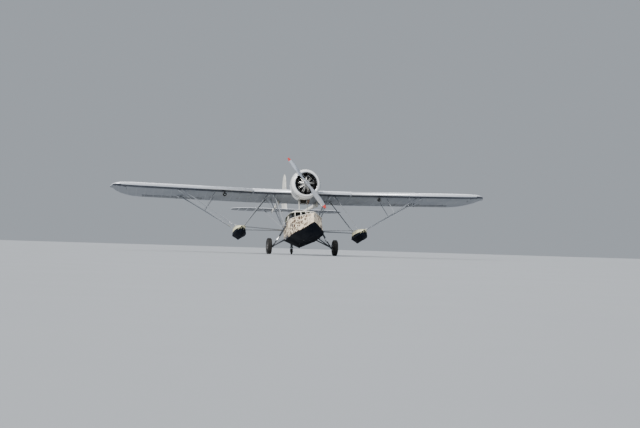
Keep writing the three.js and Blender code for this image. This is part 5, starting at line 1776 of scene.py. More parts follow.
    def seats(self) -> None:
        """Builds the seat frames and lays the stuffed pads on them."""
        frames = Form()
        for centre in (-self.seat_x, self.seat_x):
            frames.box((centre - 0.205, 2.842, 0.474), (centre + 0.205, 3.215, 0.486), 0.004)
            turn = Matrix.Translation((centre, 3.281, 0.500)) @ Matrix.Rotation(-self.back_lean, 4, "X")
            frames.box((-0.200, 0.0, 0.0), (0.200, 0.007, 0.540), 0.003, turn)
            hoop = [turn @ Vector(p) for p in (
                (-0.195, -0.004, -0.02), (-0.200, 0.004, 0.30), (-0.195, 0.004, 0.49), (-0.165, 0.004, 0.545),
                (0.165, 0.004, 0.545), (0.195, 0.004, 0.49), (0.200, 0.004, 0.30), (0.195, -0.004, -0.02),
            )]
            frames.tube(hoop, 0.011, 8)
            for x in (centre - 0.175, centre + 0.175):
                frames.box((x - 0.016, 2.80, self.floor_z), (x + 0.016, 3.26, self.floor_z + 0.015), 0.002)
                for y in (2.875, 3.180):
                    frames.rod((x, y, self.floor_z + 0.012), (x, y, 0.476), 0.013)
                frames.rod((x, 2.875, 0.335), (x, 3.180, 0.455), 0.009)
        frames.finish("front_seat_frames", "leather", Finish.GEAR, replaces=("front_seats",))
        base = Form().box((-0.44, 3.952, 0.292), (0.44, 4.290, 0.494), 0.010)
        turn = Matrix.Translation((0, 4.376, 0.505)) @ Matrix.Rotation(-self.back_lean, 4, "X")
        base.box((-0.470, 0.0, 0.0), (0.470, 0.008, 0.510), 0.004, turn)
        base.finish("rear_seat_base", "leather", Finish.CABIN_INSIDE, replaces=("rear_seat",))
        slope = Matrix.Rotation(self.seat_slope, 4, "X")
        upright = Matrix.Rotation(math.pi / 2 - self.back_lean, 4, "X")
        fronts = [Matrix.Translation((x, 3.018, 0.547)) @ slope for x in (-self.seat_x, self.seat_x)]
        backs = [Matrix.Translation((x, 3.268, 0.835)) @ upright for x in (-self.seat_x, self.seat_x)]
        for cushion in (
            Cushion("front_seat_pad", (0.415, 0.350, 0.112), fronts),
            Cushion("front_back_pad", (0.400, 0.430, 0.078), backs, cap=0.022),
            Cushion(
                "rear_seat_pad", (0.930, 0.375, 0.112), [Matrix.Translation((0, 4.082, 0.556)) @ slope],
                channels=7,
            ),
            Cushion(
                "rear_back_pad", (0.930, 0.400, 0.078), [Matrix.Translation((0, 4.362, 0.825)) @ upright],
                channels=7, cap=0.022,
            ),
        ):
            cushion.build()

    def build(self) -> None:
        """Dresses the cabin and adds its glass, seats and fittings."""
        dress("cabin_frame", "cabin_paint", Finish.IVORY, Finish.CABIN_INSIDE, rule=self.colour, crease=20)
        dress("cabin_hatch_lid", "cabin_paint", Finish.IVORY)
        self.glass()
        self.roof()
        self.panel()
        self.seats()


@dataclass
class Powerplant:
    """Radial engine with cowl, nacelle, cooler, exhaust, propeller and cabane struts."""

    row_y: float = 2.45
    cylinders: int = 9
    barrel: tuple[float, float] = (0.20, 0.44)
    head_top: float = 0.552
    case: Profile = (
        (0.0, 2.128), (0.052, 2.130), (0.064, 2.142), (0.066, 2.190), (0.084, 2.198), (0.094, 2.206),
        (0.098, 2.222),
        (0.090, 2.236), (0.112, 2.250), (0.150, 2.282), (0.186, 2.318), (0.206, 2.326), (0.214, 2.336),
        (0.216, 2.352),
        (0.219, 2.362), (0.219, 2.560), (0.210, 2.572), (0.192, 2.584), (0.190, 2.640), (0.190, 2.788),
        (0.0, 2.788),
    )
    blade: Rows = (
        (0.060, 0.096, 0.092, 60), (0.190, 0.106, 0.074, 54), (0.340, 0.152, 0.046, 44),
        (0.560, 0.196, 0.032, 33),
        (0.820, 0.200, 0.023, 25), (1.040, 0.172, 0.016, 20), (1.180, 0.122, 0.011, 18),
        (1.262, 0.072, 0.008, 17),
        (1.285, 0.044, 0.007, 17),
    )
    blade_turn: float = math.radians(-38)
    nacelle: Rows = (
        (2.79, 0.400, 0.400, 2.445), (2.94, 0.520, 0.520, 2.424), (3.12, 0.528, 0.530, 2.420),
        (3.40, 0.492, 0.486, 2.405), (3.72, 0.415, 0.400, 2.375), (4.08, 0.305, 0.290, 2.325),
        (4.44, 0.175, 0.175, 2.270), (4.76, 0.045, 0.050, 2.210),
    )
    cowl_y: float = 2.13
    tail_pipe: Sequence[Point] = (
        (0.190, 2.640, 2.000), (0.214, 2.900, 1.865), (0.222, 3.060, 1.813), (0.226, 3.320, 1.785),
    )
    straps_y: Numbers = (3.12, 3.56, 4.08, 4.44)

    @staticmethod
    def cowl_colour(spot: Vector, normal: Vector) -> int:
        """Which paint a face of the cowl has: enamel outside, or dark enamel inside as painted shade in the
        cowl's mouth.
        """
        out = Vector((spot.x, 0, spot.z - AXES.hub[2])).normalized()
        return 1 if normal.dot(out) < -0.15 and spot.y > AXES.hub[1] + 0.13 else 0

    @staticmethod
    def cooler_colour(spot: Vector, normal: Vector) -> int:
        """Which finish a face of the cooler has: case or honeycomb."""
        return 1 if abs(normal.y) > 0.9 else 0

    @staticmethod
    def fins(low: float, high: float, inner: float, outer: float, pitch: float) -> list[tuple[float, float]]:
        """The profile of a finned barrel.

        Args:
            low: Where the barrel starts.
            high: Where it ends.
            inner: Radius between the fins.
            outer: Radius of the fins.
            pitch: Distance from fin to fin.

        Returns:
            Points as (radius, reach).
        """
        profile = [(0.0, low), (inner, low)]
        for i in range(int((high - low) / pitch)):
            foot = low + pitch * (i + 0.35)
            tip = foot + pitch * 0.08
            profile += [(inner, foot), (outer, tip), (outer, tip + pitch * 0.28), (inner, tip + pitch * 0.42)]
        return [*profile, (inner, high), (0.0, high)]

    def on_nacelle(self, y: float, angle: float, proud: float = 0.0) -> tuple[Vector, Vector]:
        """A point of the nacelle and its outward direction; angle 0 is the top, towards port."""
        across, up, middle = eased(self.nacelle, y)
        out = Vector((math.sin(angle) / across, 0, math.cos(angle) / up)).normalized()
        return Vector(((across + proud) * math.sin(angle), y, middle + (up + proud) * math.cos(angle))), out

    def engine(self) -> None:
        """Builds the nine cylinders with their gear and the crankcase."""
        hub = AXES.hub
        centre, spin = (0.0, self.row_y, hub[2]), AFT

        def around(*points: Point) -> list[Vector]:
            """Points given from the engine's middle line, in the datum frame."""
            return [Vector((x, y, hub[2] + z)) for x, y, z in points]

        low, middle = self.barrel
        barrels = Form().lathe(self.fins(low, middle, 0.060, 0.077, 0.012), centre, "Z", sides=18)
        barrels.repeated(self.cylinders, centre, spin)
        barrels.finish("engine_barrels", "engine_metal", Finish.CYLINDER, replaces=("engine",))
        heads = Form().lathe(self.fins(middle, self.head_top, 0.067, 0.088, 0.0135), centre, "Z", sides=18)
        for x in (-1, 1):
            heads.box(
                Vector((x * 0.031 - 0.019, 2.425, hub[2] + 0.540)),
                Vector((x * 0.031 + 0.019, 2.532, hub[2] + 0.586)),
                0.007,
            )
            heads.bolts(around((x * 0.031, 2.424, 0.563)), (0, -1, 0), 0.012)
        heads.repeated(self.cylinders, centre, spin)
        heads.finish("engine_heads", "engine_metal", Finish.HEAD)
        tubes, shade_boots, leads = Form(), Form(), Form()
        for x in (-1, 1):
            foot, neck, top, rocker = around(
                (x * 0.016, 2.205, 0.09), (x * 0.030, 2.315, 0.34), (x * 0.030, 2.372, 0.46),
                (x * 0.026, 2.43, 0.548)
            )
            tubes.rod(foot, neck, 0.0118, sides=10).rod(top, rocker, 0.0118, sides=10)
            tubes.rod(foot, towards(foot, neck, 0.06), 0.018, sides=10)
            # The rubber boots are real parts, and their black over this reach is partly painted shade for the
            # shade inside the cowl.
            shade_boots.rod(neck, top, 0.0165, sides=10)
            plug, ring = around((x * 0.052, 2.395, 0.500), (x * 0.060, 2.352, 0.232))
            tubes.rod(plug, plug + Vector((0, 0.045, 0)), 0.011, sides=6)
            bends = [
                ring, ring + Vector((x * 0.012, -0.012, 0.09)), plug + Vector((x * 0.012, -0.022, -0.06)),
                plug,
            ]
            leads.tube(bends, 0.0055, 6)
        tubes.repeated(self.cylinders, centre, spin)
        tubes.finish("engine_pushrod_tubes", "engine_metal", Finish.TUBE)
        shade_boots.repeated(self.cylinders, centre, spin)
        shade_boots.finish("engine_tube_boots", "engine_metal", Finish.LEAD)
        leads.repeated(self.cylinders, centre, spin)
        leads.ring((0, 2.352, hub[2]), 0.235, 0.012, sides=54)
        leads.finish("engine_ignition_leads", "engine_metal", Finish.LEAD)
        case = Form().lathe(self.case, (0, 0, hub[2]), sides=72)
        case.bolts(circle((0, 2.336, hub[2]), 0.200, "Y", 27), AFT, 0.016)
        case.bolts(circle((0, 2.204, hub[2]), 0.086, "Y", 9), AFT, 0.014)
        for spot in circle((0, 2.30, hub[2]), 0.168, "Y", 9):
            case.rod(spot, spot + Vector((0, -0.026, 0)), 0.022, 0.018, sides=12)
        case.finish("engine_crankcase", "engine_metal", Finish.CRANKCASE)
        intakes = Form()
        bends = around(
            (0.060, 2.512, 0.515), (0.074, 2.560, 0.455), (0.082, 2.600, 0.36), (0.070, 2.620, 0.20)
        )
        intakes.tube(bends, 0.026, 12)
        intakes.repeated(self.cylinders, centre, spin)
        intakes.finish("engine_intake_pipes", "engine_metal", Finish.CRANKCASE)

    def propeller(self) -> None:
        """Builds the two-bladed propeller with its hub and clamps."""
        place = DATUM @ Matrix.Translation(AXES.hub) @ Matrix.Rotation(self.blade_turn, 4, "Y")
        blades = Form(place)
        sides = 20
        rings = []
        for r in [*spread(0.06, 1.262, 24), 1.276, 1.285]:
            chord, thick, pitch = eased(self.blade, r)
            along, deep = math.cos(math.radians(pitch)), math.sin(math.radians(pitch))
            ring = []
            for i in range(sides):
                angle = math.tau * i / sides
                s, bulge = 0.5 * chord * math.cos(angle), 0.5 * thick * math.sin(angle)
                ring.append((s * along + bulge * deep, s * deep - bulge * along, r))
            rings.append(ring)
        blades.loft(rings)
        blades.repeated(2, (0, 0, 0), AFT)
        blades.finish(
            "propeller_blades", "propeller_metal", Finish.BLADE, body="propeller", crease=50,
            replaces=("propeller",)
        )
        hub = Form(place)
        sleeve = (
            (0.0, 0.045), (0.063, 0.045), (0.064, 0.080), (0.069, 0.084), (0.069, 0.100), (0.0625, 0.104),
            (0.061, 0.150),
            (0.066, 0.154), (0.066, 0.176), (0.060, 0.180), (0.058, 0.200), (0.046, 0.204), (0.0, 0.204),
        )
        hub.lathe(sleeve, (0, 0, 0), "Z", sides=28)
        for x in (-1, 1):
            hub.box((x * 0.078 - 0.012, -0.018, 0.082), (x * 0.078 + 0.012, 0.018, 0.102), 0.003)
            hub.bolts([(x * 0.080, 0.0, 0.092)], AFT, 0.018)
        hub.repeated(2, (0, 0, 0), AFT)
        body = (
            (0.0, -0.094), (0.030, -0.094), (0.038, -0.086), (0.044, -0.068), (0.072, -0.062),
            (0.078, -0.054),
            (0.078, 0.054), (0.072, 0.062), (0.060, 0.066), (0.058, 0.077), (0.0, 0.077),
        )
        hub.lathe(body, (0, 0, 0), "Y", sides=40)
        hub.bolts(circle((0, -0.064, 0), 0.060, "Y", 8), AFT, 0.014)
        hub.finish("propeller_hub", "propeller_metal", Finish.CHROME, body="propeller", crease=28)

    def cowl(self) -> None:
        """Builds the cowl's lip, bands, latches and rivets."""
        hub_z = AXES.hub[2]
        lip = Form().ring((0, self.cowl_y + 0.018, hub_z), 0.472, 0.016, sides=96, wire_sides=10)
        lip.finish("cowl_lip", "cabin_paint", Finish.CHROME)
        bands = Form()
        for y, radius in ((2.315, 0.6085), (2.585, 0.6035)):
            hoop = (
                (radius, y - 0.016), (radius + 0.006, y - 0.013), (radius + 0.006, y + 0.013),
                (radius, y + 0.016),
            )
            bands.lathe((*hoop, hoop[0]), (0, 0, hub_z), sides=96)
        for angle in (0.62, math.pi - 0.62, math.pi + 0.62, math.tau - 0.62):
            out = Vector((math.sin(angle), 0, math.cos(angle)))
            turn = Matrix.Translation(Vector((0, 0, hub_z)) + out * 0.606) @ Matrix.Rotation(angle, 4, "Y")
            for y in (2.315, 2.585):
                bands.box((-0.045, y - 0.020, -0.006), (0.045, y + 0.020, 0.010), 0.004, turn)
                bands.box((-0.028, y - 0.010, 0.006), (0.050, y + 0.010, 0.020), 0.004, turn)
        bands.finish("cowl_bands", "cabin_paint", Finish.STEEL)
        rivets = Form()
        for y, radius in ((2.205, 0.6005), (2.268, 0.6105), (2.87, 0.5695)):
            for i in range(60):
                angle = math.tau * (i + 0.5) / 60
                out = Vector((math.sin(angle), 0, math.cos(angle)))
                spot = Vector((0, y, hub_z)) + out * radius
                rivets.rod(spot - out * 0.005, spot + out * 0.0028, 0.0062, 0.0035, sides=6)
        rivets.finish("cowl_rivets", "cabin_paint", Finish.COWL_IVORY)

    def nacelle_parts(self) -> None:
        """Builds the nacelle's straps, louvres, covers and caps."""
        straps = Form()
        for y in self.straps_y:
            straps.tube([self.on_nacelle(y, math.tau * i / 48)[0] for i in range(48)], 0.0065, 6, closed=True)
        for angle in (math.radians(90), math.radians(-90)):
            straps.strip([self.on_nacelle(y, angle, 0.001) for y in spread(2.96, 4.66, 18)], 0.030, 0.004)
        straps.finish("nacelle_straps", "cabin_paint", Finish.COWL_IVORY)
        louvres, doors = Form(), Form()
        for side in (-1, 1):
            for k in range(7):
                arc = [
                    self.on_nacelle(3.19 + 0.042 * k, side * angle, 0.006)[0]
                    for angle in spread(1.05, 1.42, 6)
                ]
                louvres.tube(arc, 0.011, 6)
            for y, angle, radius in ((3.30, 0.55, 0.075), (3.82, 1.0, 0.062), (3.30, 2.05, 0.06)):
                cover(doors, *self.on_nacelle(y, side * angle), radius)
        for y in (3.02, 3.24):
            point, out = self.on_nacelle(y, 0.0)
            doors.rod(point - out * 0.02, point + out * 0.020, 0.048, 0.042, sides=24)
            doors.box(point + Vector((-0.030, -0.006, 0.018)), point + Vector((0.030, 0.006, 0.032)), 0.003)
        louvres.finish("nacelle_louvres", "cabin_paint", Finish.COWL_IVORY)
        doors.finish("nacelle_covers", "cabin_paint", Finish.STEEL)

    def cooler_parts(self) -> None:
        """Builds the cooler's frame and hoses, the exhaust clamps and the cabane fittings."""
        bars = Form()
        for y in (3.004, 3.296):
            corners = [(-0.128, y, 1.752), (0.128, y, 1.752), (0.128, y, 2.074), (-0.128, y, 2.074)]
            for i, corner in enumerate(corners):
                bars.rod(corner, corners[(i + 1) % 4], 0.0085, sides=8)
            bars.bolts(corners, AFT, 0.022)
        bars.finish("oil_cooler_frame", "cooler_metal", Finish.STEEL)
        hoses = Form()
        for side in (-1, 1):
            bends = [(0.118, 3.22, 1.86), (0.158, 3.24, 1.88), (0.172, 3.26, 1.96), (0.160, 3.28, 2.06)]
            hoses.tube([(x * side, y, z) for x, y, z in bends], 0.017, 10)
            for z in (1.93, 2.02):
                hoses.rod((side * 0.170, 3.262, z - 0.012), (side * 0.168, 3.266, z + 0.012), 0.021, sides=14)
        hoses.finish("oil_cooler_hoses", "cooler_metal", Finish.LEAD)
        clamps = Form()
        pipe = [Vector(point) for point in self.tail_pipe]
        for start, share in ((0, 0.62), (1, 0.5), (2, 0.35)):
            middle = towards(pipe[start], pipe[start + 1], share)
            along = (pipe[start + 1] - pipe[start]).normalized() * 0.011
            clamps.rod(middle - along, middle + along, 0.0505, sides=28)
            clamps.bolts([middle + Vector((0.056, 0, 0))], AFT, 0.018)
        clamps.finish("exhaust_clamps", "exhaust_metal", Finish.STEEL)
        fittings = Form()
        for side in (-1, 1):
            foot, head = Vector((side * 0.175, 2.84, 1.35)), Vector((side * 0.165, 3.17, 2.20))
            for low, high in ((0.065, 0.115), (0.86, 0.92)):
                fittings.strut(towards(foot, head, low), towards(foot, head, high), 0.050, 0.034, sides=20)
            spot = towards(foot, head, 0.09)
            fittings.bolts([spot + Vector((0.018, 0, 0)), spot - Vector((0.018, 0, 0))], ACROSS, 0.020)
        sole = [
            (x, y, 1.4035) for x in (-0.185, -0.12, -0.06, 0.0, 0.06, 0.12, 0.185) for y in (2.812, 2.868)
        ]
        fittings.bolts(sole, UP, 0.014)
        fittings.finish("cabane_fittings", "strut_paint", Finish.STEEL)

    def build(self) -> None:
        """Dresses the powerplant and adds its parts."""
        # Painted shade: the cowl's inner faces behind the lip take the dark enamel for the shade inside the
        # cowl.
        dress("cowl", "cabin_paint", Finish.COWL_IVORY, Finish.DARK, rule=self.cowl_colour)
        dress("nacelle", "cabin_paint", Finish.COWL_IVORY)
        dress("oil_cooler", "cooler_metal", Finish.DARK, Finish.COOLER, rule=self.cooler_colour)
        dress("exhaust", "exhaust_metal", Finish.EXHAUST)
        dress("cabane_struts", "strut_paint", Finish.IVORY)
        self.engine()
        self.propeller()
        self.cowl()
        self.nacelle_parts()
        self.cooler_parts()


@dataclass
class Wing:
    """Parasol wing with its centre section, panels, ailerons and lamps."""

    chord: float = 2.07
    sheet: float = 0.12
    lip: float = 0.012
    bay: float = 0.36
    stations: Numbers = (0.125, 0.22, 0.34, 0.48, 0.62, 0.76, 0.88, 0.97, 0.992)
    aileron: tuple[float, float] = (4.05, 6.60)
    hinge: float = 0.80
    joint: float = 2.0404
    lamp: Point = (3.25, 3.18, 2.04)
    clear: float = 0.8
    tape_wide: float = 0.036
    tape_proud: float = 0.002
    band_wide: float = 0.075
    band_proud: float = 0.0032

    def colour(self, spot: Vector, normal: Vector) -> int:
        """Which finish a face of the wing has: upper fabric, leading edge, a dark band of painted shade under
        the nose, or lower fabric with painted shade.
        """
        into = AXES.wing.inverted() @ DATUM
        reach = (into @ spot).y / self.chord
        if reach > self.sheet + 0.01:
            return 3 if (into.to_3x3() @ normal).z < 0 else 0
        return 2 if reach > self.lip and (into.to_3x3() @ normal).z < 0 else 1

    def ribs(self, first: float, last: float) -> list[float]:
        """Where the ribs lie between two distances from the middle, measured from the panel's joint."""
        return [
            k * self.bay - self.joint
            for k in range(math.ceil(first / self.bay), math.floor(last / self.bay) + 1)
        ]

    def lay(self, node: str, place: Matrix, xs: Numbers, shares: Numbers, under: Finish) -> None:
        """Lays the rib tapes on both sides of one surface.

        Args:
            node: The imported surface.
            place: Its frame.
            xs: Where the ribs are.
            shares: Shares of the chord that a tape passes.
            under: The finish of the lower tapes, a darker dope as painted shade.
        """
        for up, finish in ((1, Finish.DOPE), (-1, under)):
            form = Form(place)
            for x in xs:
                line = [(x, share * self.chord, up * self.clear) for share in shares]
                tape(form, node, line, (0, 0, -up), self.tape_wide, self.tape_proud)
            word = "top" if up > 0 else "under"
            form.finish(f"{node}_tapes_{word}", "silver_dope", finish, body=body_of(node))

    def joint_bands(self, side: Side) -> None:
        """Covers the joint of one panel and the centre section, above and below."""
        node, shares = f"wing_{side.word}", (0.004, 0.02, 0.05, *self.stations)
        # The lower band takes the darker dope as painted shade.
        for up, finish in ((1, Finish.LEADING_EDGE), (-1, Finish.UNDER_WING)):
            line = [(side.value * 0.012, share * self.chord, up * self.clear) for share in shares]
            band = Form(AXES.panel(side))
            tape(band, node, line, (0, 0, -up), self.band_wide, self.band_proud)
            word = "top" if up > 0 else "under"
            band.finish(f"wing_joint_band_{side.word}_{word}", "silver_dope", finish, body=body_of(node))

    def tapes(self) -> None:
        """Lays the rib tapes and joint bands of the wing and the ailerons."""
        self.lay("wing_centre", AXES.wing, spread(-1.80, 1.80, 11), self.stations, Finish.UNDER_WING)
        for side in Side:
            place, sign = AXES.panel(side), side.value
            reach = [sign * x for x in self.ribs(self.joint, 7.4)]
            self.lay(f"wing_{side.word}", place, reach, self.stations, Finish.UNDER_WING)
            inside = [sign * x for x in self.ribs(*self.aileron)]
            shares = (0.815, 0.84, 0.88, 0.92, 0.97, 0.992)
            self.lay(f"aileron_{side.word}", place, inside, shares, Finish.UNDER_DOPE)
            self.joint_bands(side)

    def fittings(self, side: Side) -> None:
        """Builds one panel's covers, hinges, horn, lights and tip handle."""
        place, sign, node = AXES.panel(side), side.value, f"wing_{side.word}"
        metal = Form(place)
        for x in (0.55, 1.7, 2.9):
            for share in (0.16, 0.70):
                if (
                    found := landing(node, (sign * x, share * self.chord, -self.clear), UP, place)
                ) is not None:
                    cover(metal, *found, 0.055, screws=6)
        for x in spread(self.aileron[0] - self.joint + 0.2, self.aileron[1] - self.joint - 0.2, 3):
            if (
                found := landing(node, (sign * x, (self.hinge - 0.035) * self.chord, -self.clear), UP, place)
            ) is not None:
                spot = found[0]
                metal.box(
                    spot + Vector((-0.005, -0.045, -0.026)), spot + Vector((0.005, 0.018, 0.010)), 0.002
                )
                metal.bolts([spot + Vector((0, 0.006, -0.016))], ACROSS, 0.020)
        if (found := landing(node, (sign * 5.20, 0.30 * self.chord, -self.clear), UP, place)) is not None:
            grip = found[0]
            bow = ((-0.07, 0.004), (-0.06, -0.034), (0.06, -0.034), (0.07, 0.004))
            metal.tube([grip + Vector((0, y, z)) for y, z in bow], 0.0075, 8)
        metal.finish(f"wing_metal_{side.word}", "silver_dope", Finish.STEEL, body=body_of(node))
        if (
            found := landing(f"aileron_{side.word}", (sign * 3.1, 0.835 * self.chord, -self.clear), UP, place)
        ) is not None:
            horn = Form(place).box(
                found[0] + Vector((-0.005, -0.03, -0.085)), found[0] + Vector((0.005, 0.03, 0.01)), 0.002
            )
            horn.bolts([found[0] + Vector((0, 0, -0.070))], ACROSS, 0.020)
            horn.finish(
                f"aileron_horn_{side.word}", "silver_dope", Finish.STEEL, body=body_of(f"aileron_{side.word}")
            )
        glass = Finish.RED_LENS if side is Side.PORT else Finish.GREEN_LENS
        if (found := landing(node, (sign * 7.0, 0.34 * self.chord, 0.02), (-sign, 0, 0), place)) is not None:
            lens = Form(place).ball(found[0] - Vector((sign * 0.004, 0, 0)), (0.020, 0.046, 0.018), sides=20)
            lens.finish(f"position_light_{side.word}", "lamp_metal", glass, body=body_of(node))
        x, y, z = self.lamp
        centre = Vector((x * sign, y, z))
        rim = ((0.060, -0.070), (0.066, -0.074), (0.072, -0.066), (0.070, -0.056), (0.062, -0.056))
        bezel = Form().lathe([*rim, rim[0]], centre, sides=36)
        bezel.finish(
            f"landing_lamp_rim_{side.word}", "lamp_metal", Finish.DARK,
            body=body_of(f"landing_lamp_{side.word}"),
        )
        dome = (
            (0.0, -0.078), (0.030, -0.075), (0.052, -0.068), (0.060, -0.062), (0.056, -0.060), (0.0, -0.060)
        )
        lens = Form().lathe(dome, centre, sides=32)
        lens.finish(
            f"landing_lamp_lens_{side.word}", "lamp_metal", Finish.GLASS,
            body=body_of(f"landing_lamp_{side.word}"),
        )

    def centre(self) -> None:
        """Builds the fuel caps, walkways and pitot tube."""
        caps = Form(AXES.wing)
        for x in (-0.95, 0.95):
            if (
                found := landing("wing_centre", (x, 0.28 * self.chord, self.clear), DOWN, AXES.wing)
            ) is not None:
                point, out = found
                cover(caps, point, out, 0.075)
                caps.rod(point, point + out * 0.018, 0.045, 0.040, sides=24)
                caps.box(
                    point + Vector((-0.030, -0.005, 0.014)), point + Vector((0.030, 0.005, 0.028)), 0.003
                )
        caps.finish("fuel_caps", "silver_dope", Finish.BRASS)
        treads = Form(AXES.wing)
        for x in (-0.75, 0.75):
            line = [(x, share * self.chord, self.clear) for share in (0.34, 0.48, 0.62, 0.76, 0.88)]
            tape(treads, "wing_centre", line, DOWN, 0.24, 0.003)
        treads.finish("wing_walkways", "silver_dope", Finish.WALKWAY)
        probe = Form(AXES.panel(Side.PORT))
        probe.tube(
            [(2.45, 0.10, -0.085), (2.45, 0.06, -0.150), (2.45, 0.02, -0.175), (2.45, -0.24, -0.175)], 0.009,
            10,
        )
        probe.rod((2.45, -0.24, -0.175), (2.45, -0.275, -0.175), 0.009, 0.004)
        probe.finish("pitot_tube", "silver_dope", Finish.CHROME, body=body_of("wing_port"))

    def build(self) -> None:
        """Dresses the wing and adds its fittings."""
        # Painted shade: the lower faces take a darker copy of the dope, and a dark band lies just behind the
        # nose.
        for node in ("wing_centre", "wing_port", "wing_starboard"):
            dress(
                node, "silver_dope", Finish.DOPE, Finish.LEADING_EDGE, Finish.BOOT, Finish.UNDER_WING,
                rule=self.colour, crease=40,
            )
        self.tapes()
        self.centre()
        for side in Side:
            # Painted shade: the ailerons' lower faces take the darkest dope copy.
            dress(
                f"aileron_{side.word}", "silver_dope", Finish.DOPE, Finish.UNDER_DOPE,
                rule=under_side, crease=40,
            )
            dress(f"landing_lamp_{side.word}", "lamp_metal", Finish.DARK)
            self.fittings(side)


@dataclass
class Bracing:
    """Struts between hull, wing, floats and tail, with their fittings."""

    front_spar: float = 0.155
    rear_spar: float = 0.72
    chord: float = 2.07
    cuff: float = 0.11

    def head(self, side: Side, x: float, share: float) -> Vector:
        """Where a strut meets the wing's underside.

        Args:
            side: The wing's side.
            x: Distance from the middle.
            share: The spar's share of the chord.

        Returns:
            The point in the datum frame.
        """
        node = f"wing_{side.word}" if x > AXES.wing_joint else "wing_centre"
        start = AXES.wing @ Vector((x * side.value, share * self.chord, -0.8))
        into = DATUM.inverted()
        found = landing(node, into @ start, into.to_3x3() @ AXES.wing.to_3x3() @ Vector(UP))
        return found[0]

    def cuffs(self, form: Form, start: Vector, end: Vector, wide: float, thick: float) -> None:
        """Adds an end fitting with two bolts to both ends of a strut."""
        along = (end - start).normalized()
        for spot, way in ((start, along), (end, -along)):
            form.strut(spot + way * 0.012, spot + way * self.cuff, wide * 1.12, thick * 1.16, sides=20)
            across = along.cross(Vector(AFT)).normalized()
            for reach in (0.035, 0.080):
                centre = spot + way * reach
                form.bolts([centre + across * thick * 0.56, centre - across * thick * 0.56], across, 0.018)

    @staticmethod
    def wire(form: Form, start: Vector, end: Vector) -> None:
        """Adds a bracing wire with its end forks and turnbuckle."""
        along = (end - start).normalized()
        form.rod(start, end, 0.0034, sides=6)
        for spot in (start + along * 0.05, end - along * 0.05):
            form.rod(spot - along * 0.035, spot + along * 0.035, 0.0075, sides=8)
        middle = start + along * 0.32
        form.rod(middle - along * 0.075, middle + along * 0.075, 0.0095, sides=8)

    def build(self) -> None:
        """Dresses the struts and adds their fittings."""
        for side in Side:
            for group in ("hull_struts", "wing_struts", "float_frame", "tail_struts"):
                dress(f"{group}_{side.word}", "strut_paint", Finish.STRUT)
            fittings, wires = Form(), Form()
            spars = (self.front_spar, self.rear_spar)
            hull = [side.at((0.690, 3.380, 0.868)), side.at((0.650, 4.330, 0.872))]
            outer = [side.at((2.675, y, 0.758)) for y in (3.42, 4.45)]
            inner = [side.at((2.425, y, 0.758)) for y in (3.42, 4.45)]
            hull_heads = [self.head(side, 1.20, share) for share in spars]
            wing_heads = [self.head(side, 5.15, share) for share in spars]
            float_heads = [self.head(side, 1.35, share) for share in spars]
            for feet, heads, wide, thick in (
                (hull, hull_heads, 0.092, 0.042), (outer, wing_heads, 0.084, 0.038),
                (inner, float_heads, 0.052, 0.030),
            ):
                for foot, head in zip(feet, heads):
                    self.cuffs(fittings, foot + (head - foot).normalized() * 0.03, head, wide, thick)
            self.wire(wires, outer[0], wing_heads[1])
            self.wire(wires, outer[1], wing_heads[0])
            self.wire(wires, hull[0], float_heads[1])
            tail_foot = side.at((0.034, 6.290, 0.800))
            for head in (side.at((1.090, 8.010, 2.220)), side.at((0.742, 6.460, 2.040))):
                reach = (head - tail_foot).normalized()
                fittings.strut(tail_foot + reach * 0.10, tail_foot + reach * 0.19, 0.070, 0.038, sides=20)
                fittings.strut(head - reach * 0.15, head - reach * 0.07, 0.070, 0.038, sides=20)
            fittings.finish(f"strut_fittings_{side.word}", "strut_paint", Finish.FITTING)
            wires.finish(f"bracing_wires_{side.word}", "strut_paint", Finish.CHROME)


